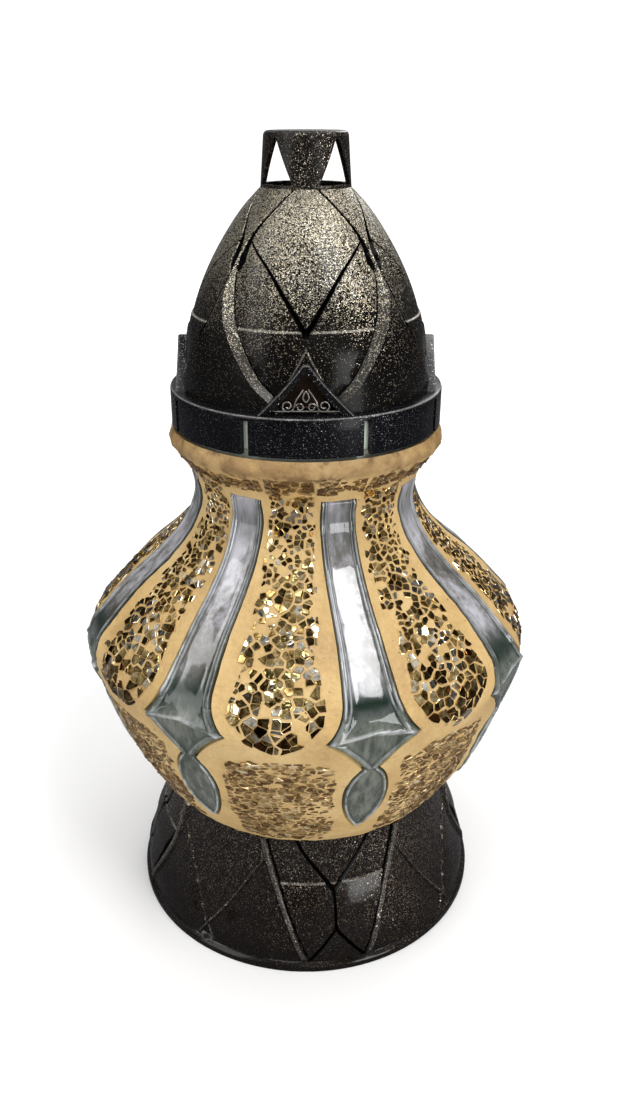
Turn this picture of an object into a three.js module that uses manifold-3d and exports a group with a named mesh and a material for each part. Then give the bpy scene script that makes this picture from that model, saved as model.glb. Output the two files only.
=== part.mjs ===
// A free-standing candle lantern: a glass jar covered in mirror mosaic, set in a moulded
// pedestal and closed by a lift-off domed cap, with a candle insert standing in the jar.
//
// Millimetres, +Z up. The origin is on the ground under the middle of the pedestal, and the
// front is -Y. An azimuth is an angle about +Z from the front towards +X, in degrees.

import * as THREE from 'three';
import { mergeVertices } from 'three/addons/utils/BufferGeometryUtils.js';
import Module from 'manifold-3d';

const wasm = await Module();
wasm.setup();

// ---- Driving dimensions ---------------------------------------------------------------

const SEGMENTS = 32; // facets round the pedestal, jar and cap
const SMALL_SEGMENTS = 24; // facets round the pieces inside them
const CURVE_STEPS = 2; // points on each curved stretch of an outline
const MERGE_TOLERANCE = 1e-4;
const SAME_POINT = 0.01; // outline points closer than this are one point
const GAP = 0.3; // clearance that neighbouring pieces keep

const RIB_COUNT = 8; // clear glass ribs moulded on the jar
const RIB_PITCH = 360 / RIB_COUNT;
const FIRST_RIB = 15.5; // azimuth of the rib to the right of the front
const FIRST_PANEL = FIRST_RIB + RIB_PITCH / 2;
const RIB_PROUD = 0.8; // how far a rib stands out of the mosaic
const RIB_ROOT = 3.4; // how far below the mosaic face a rib is rooted in the jar wall

const MOSAIC_THICKNESS = 2.1; // grout and mirror shards
const GLASS_WALL = 3.0;
const LATTICE_TOP = 190.4; // the grout between the ribs ends here
const BAND_BOTTOM = 190.9; // ring of shards in the hollow of the neck
const BAND_TOP = 196.2;
const COLLAR_BOTTOM = 196.7; // plain bead of grout under the cap

const SKIRT_RADIUS = 50.0; // the cap's skirt: the widest part of the cap
const SKIRT_BOTTOM = 205.7;
const SKIRT_TOP = 219.4;
const SKIRT_WALL = 2.2;
const SLOT_WIDTH = 2.2;
const SLOT_TOP = 216.2;
const CROWN_FOOT = 286.8; // where the dome turns into the chimney crown
const CAP_TOP = 304.5;
const CAP_WALL = 2.0;
const PETAL_COUNT = 4; // the cap's relief and its vents repeat four times
const PETAL_PITCH = 360 / PETAL_COUNT;
const SPANDREL_HEIGHT = 2.2; // raised fields between the petals
const SPANDREL_TOP = 262.0;
const ARCH_FACE = 46.4; // distance of a vent arch's flat face from the axis
const ARCH_TOP = 234.2;
const ARCH_HALF_WIDTH = 16.0;

const RIM_RADIUS = 46.4; // the jar's bare glass rim inside the skirt
const RIM_TOP = 217.0;
const JAR_FOOT = 41.5;

const CANDLE_FLOOR = 45.4; // the insert stands on the jar's floor
const CUP_BOTTOM_THICKNESS = 1.6;
const CUP_TOP = 166.0;
const WAX_FLOOR = CANDLE_FLOOR + CUP_BOTTOM_THICKNESS + GAP;
const WAX_TOP = 148.0;
const WAX_RECESS = 1.9; // height of the hollow under the wax for the wick's foot
const WICK_FLOOR = WAX_FLOOR + 2.0;
const WICK_TOP = 158.2;

// Cutting prisms run outwards from the first distance to the second, past the wall they cut.
const BODY_PRISM = [30, 95];
const DOME_PRISM = [20, 60];
const ARCH_PRISM = [36, ARCH_FACE];
const VENT_PRISM = [30, 60];
const CROWN_PRISM = [6, 20];

const WINDOW_INSET = 2.6; // from an arch's outline to its window
const SCROLL_FACES = [44.2, 45.4]; // inner and outer face of a vent's openwork plate
const SCROLL_HOLES = [
  { x: 0, z: 224.2, radius: 2.5 },
  { x: -6.4, z: 222.6, radius: 1.4 },
  { x: 6.4, z: 222.6, radius: 1.4 },
];

// ---- Profiles, as [radius, height] ----------------------------------------------------

// Outer face of the mosaic, from the pedestal's seat over the belly to the collar.
const BODY = [
  [57.0, 52.4],
  [63.2, 59.6],
  [74.3, 80.0],
  [84.4, 110.0],
  [86.5, 120.0],
  [83.6, 128.0],
  [68.0, 145.0],
  [56.5, 155.0],
  [47.0, 165.4],
  [41.6, 177.0],
  [43.2, 189.0],
  [50.4, 200.5],
  [49.2, 204.4],
];

// Outer face of the dome, from the skirt's ledge to the foot of the crown.
const DOME = [
  [43.7, SKIRT_TOP],
  [43.1, 230.0],
  [41.4, 241.5],
  [38.0, 252.5],
  [33.2, 263.0],
  [26.5, 274.0],
  [21.2, 281.0],
  [15.6, CROWN_FOOT],
];

// The crown tapers a little, and a closed plate keeps rain out of it.
const CROWN = [
  [15.0, 295.0],
  [14.4, CAP_TOP - 1.2],
  [13.3, CAP_TOP],
];

// Outer wall of the pedestal, from the ground to the rim under the jar.
const PEDESTAL = [
  [72.75, 0],
  [72.75, 2.2],
  [71.3, 3.6],
  [70.1, 10.0],
  [66.0, 20.2],
  [63.0, 29.5],
  [60.8, 42.0],
  [59.4, 54.2],
];

// Inside of the pedestal, from the seat that carries the jar, under it, and down the wall.
const PEDESTAL_INSIDE = [
  [54.4, 48.6],
  [49.6, 44.6],
  [48.4, 43.0],
  [48.4, JAR_FOOT - 0.4],
  [24.0, JAR_FOOT - 0.4],
  [24.0, 38.8],
  [50.0, 38.8],
  [57.2, 46.4],
  [58.6, 39.0],
  [61.0, 28.5],
  [66.2, 13.0],
  [69.6, 4.2],
  [69.6, 0],
];

// Outer face of the sheet-metal shield that keeps the flame's heat off the dome.
const SHIELD = [
  [38.6, 221.0],
  [38.0, 233.0],
  [34.8, 249.0],
  [28.8, 263.0],
  [15.0, 280.5],
];
const SHIELD_THICKNESS = 0.6;
const SHIELD_FLANGE = [
  [40.8, 220.4],
  [40.8, 221.0],
];

// The jar below the mosaic and above it, outside and inside.
const JAR_BOTTOM = [
  [0, JAR_FOOT],
  [44.5, JAR_FOOT],
  [47.6, 44.2],
];
const JAR_RIM = [
  [RIM_RADIUS, 203.4],
  [RIM_RADIUS, RIM_TOP],
  [RIM_RADIUS - GLASS_WALL, RIM_TOP],
];
const JAR_BOTTOM_INSIDE = [
  [0, 45],
  [43.4, 45],
];
const JAR_RIM_INSIDE = [[RIM_RADIUS - GLASS_WALL, 202.0]];

// The cap's skirt, outside and inside, and the space that the vent arches leave free.
const SKIRT = [
  [SKIRT_RADIUS, SKIRT_BOTTOM],
  [SKIRT_RADIUS, SKIRT_TOP - 0.8],
  [SKIRT_RADIUS - 0.8, SKIRT_TOP],
];
const SKIRT_INSIDE = [
  [SKIRT_RADIUS - SKIRT_WALL, SKIRT_BOTTOM],
  [SKIRT_RADIUS - SKIRT_WALL, SKIRT_TOP - CAP_WALL],
  [DOME[0][0] - CAP_WALL - 0.1, SKIRT_TOP - CAP_WALL],
];
const CROWN_INSIDE = [
  [13.2, CROWN_FOOT],
  [12.5, CAP_TOP - CAP_WALL],
  [0, CAP_TOP - CAP_WALL],
];
const BEHIND_ARCHES = [
  [0, SKIRT_TOP - 5],
  [41.6, SKIRT_TOP - 5],
  [41.4, 228],
  [40.0, 241],
  [0, 241],
];

const CUP = [
  [0, CANDLE_FLOOR],
  [28.0, CANDLE_FLOOR],
  [29.2, 60],
  [30.0, CUP_TOP - 1.2],
  [30.8, CUP_TOP - 1.2],
];
const CUP_INSIDE = [
  [30.8, CUP_TOP],
  [28.8, CUP_TOP],
  [27.9, 60],
  [26.8, CANDLE_FLOOR + CUP_BOTTOM_THICKNESS],
  [0, CANDLE_FLOOR + CUP_BOTTOM_THICKNESS],
];
const WAX = [
  [10.6, WAX_FLOOR],
  [26.4, WAX_FLOOR],
  [27.5, 60],
  [28.2, WAX_TOP],
  [4.0, WAX_TOP - 1.0],
  [1.7, WAX_TOP - 1.6],
  [1.7, WAX_FLOOR + WAX_RECESS],
  [10.6, WAX_FLOOR + WAX_RECESS],
];
const WICK = [
  [0, WICK_FLOOR],
  [1.2, WICK_FLOOR],
  [1.2, WICK_TOP - 1.2],
  [0.7, WICK_TOP],
  [0, WICK_TOP],
];
const WICK_FOOT = [
  [0, WAX_FLOOR],
  [10.2, WAX_FLOOR],
  [10.2, WAX_FLOOR + 0.6],
  [2.4, WAX_FLOOR + 0.7],
  [2.2, WAX_FLOOR + 1.6],
  [0, WAX_FLOOR + 1.6],
];

// ---- Geometry helpers -----------------------------------------------------------------

const degrees = THREE.MathUtils.degToRad;

function signedArea(points) {
  return points.reduce((sum, [x, y], i) => {
    const [nextX, nextY] = points[(i + 1) % points.length];
    return sum + (x * nextY - nextX * y) / 2;
  }, 0);
}

// A profile moved sideways: outwards for a profile that climbs, inwards for a negative distance.
function offset(profile, distance) {
  const normals = profile.slice(1).map(([r, z], i) => {
    const step = new THREE.Vector2(r - profile[i][0], z - profile[i][1]).normalize();
    return new THREE.Vector2(step.y, -step.x);
  });
  return profile.map(([r, z], i) => {
    const before = normals[Math.max(i - 1, 0)];
    const after = normals[Math.min(i, normals.length - 1)];
    const middle = before.clone().add(after).normalize();
    const reach = distance / middle.dot(after);
    return [r + middle.x * reach, z + middle.y * reach];
  });
}

// The stretch of a climbing profile between two heights.
function stretch(profile, bottom, top) {
  const at = (height) => {
    const i = profile.findIndex(([, z]) => z > height);
    if (i <= 0) return i === 0 ? profile[0] : profile.at(-1);
    const [r0, z0] = profile[i - 1];
    const [r1, z1] = profile[i];
    return [r0 + ((r1 - r0) * (height - z0)) / (z1 - z0), height];
  };
  const [first, last] = [at(bottom), at(top)];
  return [first, ...profile.filter(([, z]) => z > first[1] && z < last[1]), last];
}

// A closed mesh as a manifold solid, for cutting and joining.
function solid(geometry) {
  const bare = geometry.clone();
  bare.deleteAttribute('normal');
  bare.deleteAttribute('uv');
  const merged = mergeVertices(bare, MERGE_TOLERANCE);
  const triangles = [];
  for (let i = 0; i < merged.index.count; i += 3) {
    const [a, b, c] = [0, 1, 2].map((k) => merged.index.getX(i + k));
    if (a !== b && b !== c && c !== a) triangles.push(a, b, c);
  }
  return new wasm.Manifold(
    new wasm.Mesh({
      numProp: 3,
      vertProperties: merged.attributes.position.array,
      triVerts: new Uint32Array(triangles),
    }),
  );
}

// A closed profile turned about the upright axis, with its facets laid evenly about the ribs.
function turned(profile, segments = SEGMENTS) {
  const outline = signedArea(profile) > 0 ? profile : [...profile].reverse();
  // A profile that touches the axis starts and ends there; any other closes on itself.
  const onAxis = outline.some(([r]) => r === 0);
  const start = onAxis ? outline.findIndex(([r], i) => r === 0 && outline.at(i - 1)[0] === 0) : 0;
  const ordered = [...outline.slice(start), ...outline.slice(0, start)];
  if (!onAxis) ordered.push(ordered[0]);
  const points = ordered.map(([r, z]) => new THREE.Vector2(r, z));
  const geometry = new THREE.LatheGeometry(points, segments).rotateX(Math.PI / 2);
  return solid(geometry.rotateZ(degrees(FIRST_RIB + 180 / SEGMENTS)));
}

// A turned shell between a profile moved by one distance and the same profile moved by another.
function shell(profile, outer, inner) {
  return turned([...offset(profile, outer), ...offset(profile, inner).reverse()]);
}

// An outline in the upright plane at an azimuth, run outwards along the radius.
function radialPrism(shape, azimuth, [from, to]) {
  const options = { depth: to - from, bevelEnabled: false, curveSegments: CURVE_STEPS };
  const geometry = new THREE.ExtrudeGeometry(shape, options);
  return solid(geometry.translate(0, 0, from).rotateX(Math.PI / 2).rotateZ(degrees(azimuth)));
}

// A closed outline that is the same on both sides of its centre line.
function mirrored(rightSide) {
  const right = rightSide.getPoints(CURVE_STEPS);
  const left = right.map((p) => new THREE.Vector2(-p.x, p.y)).reverse();
  const isNew = (p, i, all) => i === 0 || p.distanceTo(all[i - 1]) > SAME_POINT;
  return new THREE.Shape([...right, ...left].filter(isNew));
}

// One solid for each azimuth of a pattern that repeats round the axis.
function around(count, first, make) {
  return Array.from({ length: count }, (_, k) => make(first + (360 / count) * k));
}

function joined(body, pieces) {
  return pieces.reduce((sum, piece) => sum.add(piece), body);
}

function cut(body, pieces) {
  return pieces.reduce((rest, piece) => rest.subtract(piece), body);
}

// ---- Outlines -------------------------------------------------------------------------

// A glass rib: a band down the shoulder, an arrow head on the belly and a drop under it.
function ribOutline(grow) {
  const side = new THREE.Path();
  side.moveTo(5.8 + grow, 187.0 + grow);
  side.bezierCurveTo(5.8 + grow, 168, 7.0 + grow, 148, 9.9 + grow, 130.5);
  side.quadraticCurveTo(11.4 + grow, 124, 17.0 + grow, 118.6);
  side.quadraticCurveTo(9.0 + grow, 113.5, 3.2 + grow, 104.8);
  side.bezierCurveTo(10.6 + grow, 97, 10.2 + grow, 81, 0.6 + grow, 67.5 - grow);
  return mirrored(side);
}

// A field of mirror shards between two ribs, above the widest part of the belly.
function upperPanelOutline(grow) {
  const side = new THREE.Path();
  side.moveTo(7.9 + grow, 186.0 + grow);
  side.bezierCurveTo(8.6 + grow, 168, 10.5 + grow, 150, 16.8 + grow, 128.5);
  side.quadraticCurveTo(14.5 + grow, 117.5, grow, 113.0 - grow);
  return mirrored(side);
}

// A field of mirror shards between two drops, under the belly.
function lowerPanelOutline(grow) {
  const side = new THREE.Path();
  side.moveTo(grow, 109.6 + grow);
  side.quadraticCurveTo(12.0, 110.6 + grow, 19.5 + grow, 105.5 + grow);
  side.quadraticCurveTo(20.0 + grow, 84, 12.5 + grow, 60.4 - grow);
  side.lineTo(grow, 59.0 - grow);
  return mirrored(side);
}

// A raised field of the dome between two petals: wide at the skirt, pointed at the top.
function spandrelOutline() {
  const side = new THREE.Path();
  side.moveTo(24.6, SKIRT_TOP - 0.6);
  side.quadraticCurveTo(13.5, 236, 0.4, SPANDREL_TOP);
  return mirrored(side);
}

// A vent arch on the skirt's ledge, with a flat top; shrink gives the window inside it.
function archOutline(shrink) {
  const side = new THREE.Path();
  side.moveTo(ARCH_HALF_WIDTH - shrink * 1.5, SKIRT_TOP + shrink * 0.6 - 0.6);
  const top = [2.0 - shrink * 0.3, ARCH_TOP - shrink];
  side.quadraticCurveTo(8.4 - shrink * 0.7, 226 - shrink * 0.4, ...top);
  return mirrored(side);
}

// A crown window: a triangle that stands on its base.
function crownWindowOutline() {
  const side = new THREE.Path();
  side.moveTo(0.3, CAP_TOP - 3.2);
  side.lineTo(6.7, CROWN_FOOT + 1.2);
  return mirrored(side);
}

// ---- Pieces ---------------------------------------------------------------------------

function pedestal() {
  return turned([...PEDESTAL, ...PEDESTAL_INSIDE]);
}

// The jar: a turned wall with a closed foot and a bare rim, and the ribs moulded on it.
function glassJar() {
  const face = offset(BODY, -(MOSAIC_THICKNESS + GAP)).slice(0, -1);
  const lining = offset(BODY, -(MOSAIC_THICKNESS + GAP + GLASS_WALL)).slice(0, -2);
  const outside = [...JAR_BOTTOM, ...face, ...JAR_RIM];
  const inside = [...JAR_BOTTOM_INSIDE, ...lining, ...JAR_RIM_INSIDE];
  const wall = turned([...outside, ...inside.reverse()]);
  const band = shell(BODY, RIB_PROUD, -RIB_ROOT);
  const prisms = around(RIB_COUNT, FIRST_RIB, (at) => radialPrism(ribOutline(0), at, BODY_PRISM));
  return joined(wall, prisms.map((prism) => prism.intersect(band)));
}

function mosaicSkin(bottom, top) {
  return shell(stretch(BODY, bottom, top), 0, -MOSAIC_THICKNESS);
}

function panel(outline, azimuth) {
  return radialPrism(outline, azimuth, BODY_PRISM).intersect(mosaicSkin(BODY[0][1], LATTICE_TOP));
}

// Grout between the ribs and round the mirror panels, in one piece.
function groutLattice() {
  const prisms = (outline, first) =>
    around(RIB_COUNT, first, (at) => radialPrism(outline, at, BODY_PRISM));
  return cut(mosaicSkin(BODY[0][1], LATTICE_TOP), [
    ...prisms(ribOutline(GAP * 1.5), FIRST_RIB),
    ...prisms(upperPanelOutline(GAP), FIRST_PANEL),
    ...prisms(lowerPanelOutline(GAP), FIRST_PANEL),
  ]);
}

// The raised fields between the petals. They start under the dome's face, to join it.
function spandrels() {
  const raised = shell(stretch(DOME, SKIRT_TOP, SPANDREL_TOP + 2), SPANDREL_HEIGHT, -0.8);
  return around(PETAL_COUNT, PETAL_PITCH / 2, (at) =>
    radialPrism(spandrelOutline(), at, DOME_PRISM).intersect(raised),
  );
}

function skirtSlots() {
  const height = SLOT_TOP - SKIRT_BOTTOM + 1;
  return around(RIB_COUNT, RIB_PITCH / 2, (at) => {
    const slot = new THREE.BoxGeometry(SLOT_WIDTH, 8, height);
    slot.translate(0, -SKIRT_RADIUS, SLOT_TOP - height / 2);
    return solid(slot.rotateZ(degrees(at)));
  });
}

// The cap in one moulding: slotted skirt, dome with its relief and vent arches, and crown.
function capShell() {
  const domeInside = offset(DOME, -CAP_WALL).slice(1, -1);
  const outside = [...SKIRT, ...DOME, ...CROWN, [0, CAP_TOP]];
  const inside = [...SKIRT_INSIDE, ...domeInside, ...CROWN_INSIDE];
  const moulding = turned([...outside, ...inside.reverse()]);
  const clear = turned(BEHIND_ARCHES);
  const prisms = (outline, first, reach) =>
    around(PETAL_COUNT, first, (at) => radialPrism(outline, at, reach));
  const arches = prisms(archOutline(0), 0, ARCH_PRISM).map((arch) => arch.subtract(clear));
  const vents = prisms(archOutline(WINDOW_INSET), 0, VENT_PRISM);
  const windows = prisms(crownWindowOutline(), PETAL_PITCH / 2, CROWN_PRISM);
  const solidCap = joined(moulding, [...spandrels(), ...arches]);
  return cut(solidCap, [...vents, ...windows, ...skirtSlots()]);
}

// An openwork plate that stands in a vent arch.
function ventScroll(azimuth) {
  const shape = archOutline(WINDOW_INSET + GAP);
  shape.holes = SCROLL_HOLES.map(({ x, z, radius }) => {
    const hole = new THREE.Path();
    return hole.absarc(x, z, radius, 0, Math.PI * 2, true);
  });
  return radialPrism(shape, azimuth, SCROLL_FACES);
}

function heatShield() {
  const inner = offset(SHIELD, -SHIELD_THICKNESS);
  const lip = [inner[0][0], SHIELD_FLANGE[0][1]];
  return turned([lip, ...SHIELD_FLANGE, ...SHIELD, ...inner.slice(1).reverse()], SMALL_SEGMENTS);
}

// ---- Materials and assembly -----------------------------------------------------------

const MATERIALS = {
  glitterPlastic: { color: 0x1b1815, roughness: 0.38, metalness: 0.25 },
  clearGlass: { color: 0xb9c4bf, roughness: 0.08, metalness: 0.0 },
  grout: { color: 0xd6b276, roughness: 0.8, metalness: 0.0 },
  mirror: { color: 0x9c7b3e, roughness: 0.12, metalness: 0.9 },
  amberPlastic: { color: 0x4a3a26, roughness: 0.3, metalness: 0.2 },
  sheetMetal: { color: 0xb09a6c, roughness: 0.3, metalness: 1.0 },
  cupPlastic: { color: 0xe9e5da, roughness: 0.45, metalness: 0.0 },
  wax: { color: 0xf2ead2, roughness: 0.55, metalness: 0.0 },
  cotton: { color: 0xe8e2d0, roughness: 0.95, metalness: 0.0 },
  tinPlate: { color: 0xa9abad, roughness: 0.35, metalness: 1.0 },
};

const lantern = new THREE.Group();

function place(name, body, material) {
  const { vertProperties, triVerts } = body.getMesh();
  const geometry = new THREE.BufferGeometry();
  geometry.setAttribute('position', new THREE.BufferAttribute(new Float32Array(vertProperties), 3));
  geometry.setIndex(new THREE.BufferAttribute(new Uint32Array(triVerts), 1));
  const mesh = new THREE.Mesh(geometry, new THREE.MeshStandardMaterial(MATERIALS[material]));
  mesh.name = name;
  lantern.add(mesh);
}

place('base_pedestal', pedestal(), 'glitterPlastic');
place('glass_jar', glassJar(), 'clearGlass');
place('grout_lattice', groutLattice(), 'grout');
place('mirror_neck_band', mosaicSkin(BAND_BOTTOM, BAND_TOP), 'mirror');
place('grout_collar', mosaicSkin(COLLAR_BOTTOM, BODY.at(-1)[1]), 'grout');
around(RIB_COUNT, FIRST_PANEL, (at) => at).forEach((at, k) => {
  place(`mirror_upper_${k + 1}`, panel(upperPanelOutline(0), at), 'mirror');
  place(`mirror_lower_${k + 1}`, panel(lowerPanelOutline(0), at), 'mirror');
});

place('cap_shell', capShell(), 'glitterPlastic');
around(PETAL_COUNT, 0, (at) => at).forEach((at, k) => {
  place(`vent_scroll_${k + 1}`, ventScroll(at), 'amberPlastic');
});
place('heat_shield', heatShield(), 'sheetMetal');

place('candle_cup', turned([...CUP, ...CUP_INSIDE], SMALL_SEGMENTS), 'cupPlastic');
place('candle_wax', turned(WAX, SMALL_SEGMENTS), 'wax');
place('wick', turned(WICK, SMALL_SEGMENTS / 2), 'cotton');
place('wick_foot', turned(WICK_FOOT, SMALL_SEGMENTS), 'tinPlate');

export default lantern;
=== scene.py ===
import math

import bpy
import numpy as np
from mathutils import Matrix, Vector, noise
from mathutils.geometry import delaunay_2d_cdt


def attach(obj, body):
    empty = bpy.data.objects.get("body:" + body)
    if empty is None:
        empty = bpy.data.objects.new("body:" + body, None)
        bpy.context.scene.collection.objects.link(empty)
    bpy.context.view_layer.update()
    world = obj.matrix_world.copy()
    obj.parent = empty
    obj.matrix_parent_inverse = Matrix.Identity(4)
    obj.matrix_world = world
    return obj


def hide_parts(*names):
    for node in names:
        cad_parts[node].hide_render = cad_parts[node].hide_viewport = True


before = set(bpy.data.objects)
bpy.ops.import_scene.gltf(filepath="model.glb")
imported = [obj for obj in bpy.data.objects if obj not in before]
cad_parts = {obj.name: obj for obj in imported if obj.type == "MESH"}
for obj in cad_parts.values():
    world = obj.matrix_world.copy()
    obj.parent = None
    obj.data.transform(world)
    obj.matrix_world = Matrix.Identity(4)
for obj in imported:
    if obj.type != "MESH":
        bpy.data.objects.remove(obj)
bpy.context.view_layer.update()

MM = 0.001

# Azimuths are in degrees about +Z, from the front (-Y) towards +X. Lengths are millimetres
# until a mesh is made.

# ---- Shapes of the lantern ---------------------------------------------------------------

RIB_COUNT, FIRST_RIB = 8, 15.5
RIB_PITCH = 360 / RIB_COUNT
PETALS, PETAL_PITCH = 4, 90
SECTOR_EDGE = 44.9  # a ring of relief stops just inside the edge of a petal's sector
MOSAIC_THICKNESS, GLASS_WALL = 2.1, 3.0
JAR_DEPTH = MOSAIC_THICKNESS + 0.3

BODY = [(57.0, 52.4), (63.2, 59.6), (68.2, 68.0), (74.3, 80.0), (79.6, 95.0), (84.4, 110.0),
        (86.5, 119.5), (84.8, 126.0), (77.5, 135.0), (68.0, 145.0), (56.5, 155.0), (47.0, 165.4),
        (42.3, 175.0), (41.3, 181.0), (43.2, 189.0), (47.8, 196.0), (50.4, 200.5), (49.2, 204.4)]
DOME = [(43.7, 219.4), (43.1, 230.0), (41.4, 241.5), (38.0, 252.5), (33.2, 263.0), (26.5, 274.0),
        (21.2, 281.0), (15.6, 286.8)]
CROWN = [(15.6, 286.8), (15.0, 295.0), (14.45, 303.0), (14.1, 303.9), (13.3, 304.4),
         (12.2, 304.5), (0.0, 304.5)]
SKIRT = [(50.0, 205.7), (50.0, 218.5), (49.75, 219.15), (49.1, 219.4), (46.0, 219.4),
         (43.0, 219.4)]
PEDESTAL = [(72.75, 0.0), (72.75, 2.2), (72.3, 3.0), (71.2, 3.8), (70.1, 10.0), (66.0, 20.2),
            (63.0, 29.5), (60.8, 42.0), (59.4, 54.2)]


def smoothstep(x, low=0.0, high=1.0):
    t = np.clip((np.asarray(x, float) - low) / (high - low), 0, 1)
    return t * t * (3 - 2 * t)


def curve_through(points, steps=16):
    """A smooth curve through the points, as an array with steps points a stretch."""
    p = np.array(points, float)
    p = np.vstack([2 * p[0] - p[1], p, 2 * p[-1] - p[-2]])
    out = []
    for a, b, c, d in zip(p, p[1:], p[2:], p[3:]):
        ab, bc, cd = (max(np.linalg.norm(y - x), 1e-9) ** 0.5 for x, y in ((a, b), (b, c), (c, d)))
        into = bc * ((b - a) / ab - (c - a) / (ab + bc) + (c - b) / bc)
        onto = bc * ((c - b) / bc - (d - b) / (bc + cd) + (d - c) / cd)
        for t in np.arange(steps) / steps:
            out.append((2 * t**3 - 3 * t**2 + 1) * b + (t**3 - 2 * t**2 + t) * into
                       + (3 * t**2 - 2 * t**3) * c + (t**3 - t**2) * onto)
    return np.array([*out, p[-2]])


class Profile:
    """A turned outline of (radius, height) points, placed by azimuth, length and lift."""

    def __init__(self, points, smooth=True):
        p = curve_through(points) if smooth else np.array(points, float)
        self.r, self.z = p[:, 0], p[:, 1]
        self.s = np.concatenate([[0], np.cumsum(np.hypot(np.diff(self.r), np.diff(self.z)))])
        along = np.gradient(p, self.s, axis=0) if smooth else None
        if not smooth:
            step = np.diff(p, axis=0) / np.diff(self.s)[:, None]
            along = np.vstack([step[:1], step[:-1] + step[1:], step[-1:]])
        along /= np.linalg.norm(along, axis=1)[:, None]
        self.normal = np.stack([along[:, 1], -along[:, 0]], 1)
        self.corners = [] if smooth else list(self.s[1:-1])

    def length(self, z):
        return np.interp(z, self.z, self.s)

    def height(self, s):
        return np.interp(s, self.s, self.z)

    def radius(self, s):
        return np.interp(s, self.s, self.r)

    def place(self, azimuth, s, lift):
        a = np.radians(azimuth)
        n = [np.interp(s, self.s, self.normal[:, k]) for k in (0, 1)]
        r = self.radius(s) + n[0] * lift
        return np.stack([r * np.sin(a), -r * np.cos(a), self.height(s) + n[1] * lift], -1)


class Arm:
    """A line of relief on both sides of a petal: half angle against height."""

    def __init__(self, profile, points):
        c = curve_through(sorted(points), 6)
        self.profile, self.low, self.high = profile, c[0, 0], c[-1, 0]
        self.z, self.angle = c[:, 0], c[:, 1]
        s = profile.length(self.z)
        mm = profile.radius(s) * math.pi / 180
        self.slope = 1 / np.hypot(1, np.gradient(self.angle, s) * mm)

    def mm(self, z):
        return self.profile.radius(self.profile.length(z)) * math.pi / 180 * np.interp(
            z, self.z, self.slope)

    def outside(self, azimuth, z):
        """Millimetres from the line, positive away from the petal's middle."""
        return (np.abs(azimuth) - np.interp(z, self.z, self.angle)) * self.mm(z)

    def within(self, z, fade=1.0):
        begun = smoothstep(z, self.low - fade, self.low)
        return begun * (1 - smoothstep(z, self.high, self.high + fade))

    def lines(self, *distances, low=0.0, high=999.0):
        """Runs beside the line on both sides; a distance is a number or a function of height."""
        keep = (self.z >= low) & (self.z <= high)
        out = []
        for d in distances:
            gap = d(self.z) if callable(d) else d
            a = (self.angle + gap / self.mm(self.z))[keep]
            for side in (-1, 1):
                out.append(np.stack([side * a, self.profile.length(self.z[keep])], 1))
        return out


# ---- Meshes ------------------------------------------------------------------------------

def make(name, points, faces, material, body, stands_for, slot, sharp=32, marks=None):
    """A mesh piece from points in millimetres that rides on a CAD body, with its marks."""
    mesh = bpy.data.meshes.new(name)
    mesh.from_pydata((np.asarray(points, float) * MM).tolist(), [], [tuple(f) for f in faces])
    for key, (domain, values) in (marks or {}).items():
        layer = mesh.attributes.new(key, "FLOAT", domain)
        layer.data.foreach_set("value", np.asarray(values, np.float32))
    mesh.polygons.foreach_set("use_smooth", [True] * len(mesh.polygons))
    mesh.update()
    mesh.set_sharp_from_angle(angle=math.radians(sharp))
    piece = bpy.data.objects.new(name, mesh)
    bpy.context.scene.collection.objects.link(piece)
    mesh.materials.append(material)
    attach(piece, body)
    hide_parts(*stands_for)
    return piece


def joined(parts):
    """One mesh from (points, faces) parts."""
    points, faces = [], []
    for part_points, part_faces in parts:
        faces += [[i + len(points) for i in face] for face in part_faces]
        points += list(part_points)
    return points, faces


def resampled(line, spacing, closed=False):
    p = np.array(line, float)
    if closed:
        p = np.vstack([p, p[:1]])
    out = [p[0]]
    for a, b in zip(p, p[1:]):
        n = max(1, math.ceil(np.linalg.norm(b - a) / spacing))
        out += [a + (b - a) * k / n for k in range(1, n + 1)]
    return np.array(out[:-1] if closed else out)


def inside_polygon(points, polygon):
    x, y = points[:, 0], points[:, 1]
    hit = np.zeros(len(points), bool)
    for (x0, y0), (x1, y1) in zip(polygon, np.roll(polygon, -1, 0)):
        if y0 != y1:
            hit ^= ((y0 > y) != (y1 > y)) & (x < (x1 - x0) * (y - y0) / (y1 - y0) + x0)
    return hit


ROW_HEIGHT = 0.87  # of a row of even triangles, for a side of 1
GRID_CLEARANCE = 0.5  # of the spacing, between a grid point and the nearest edge
GRID_BATCH = 400  # grid points measured at once


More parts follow.
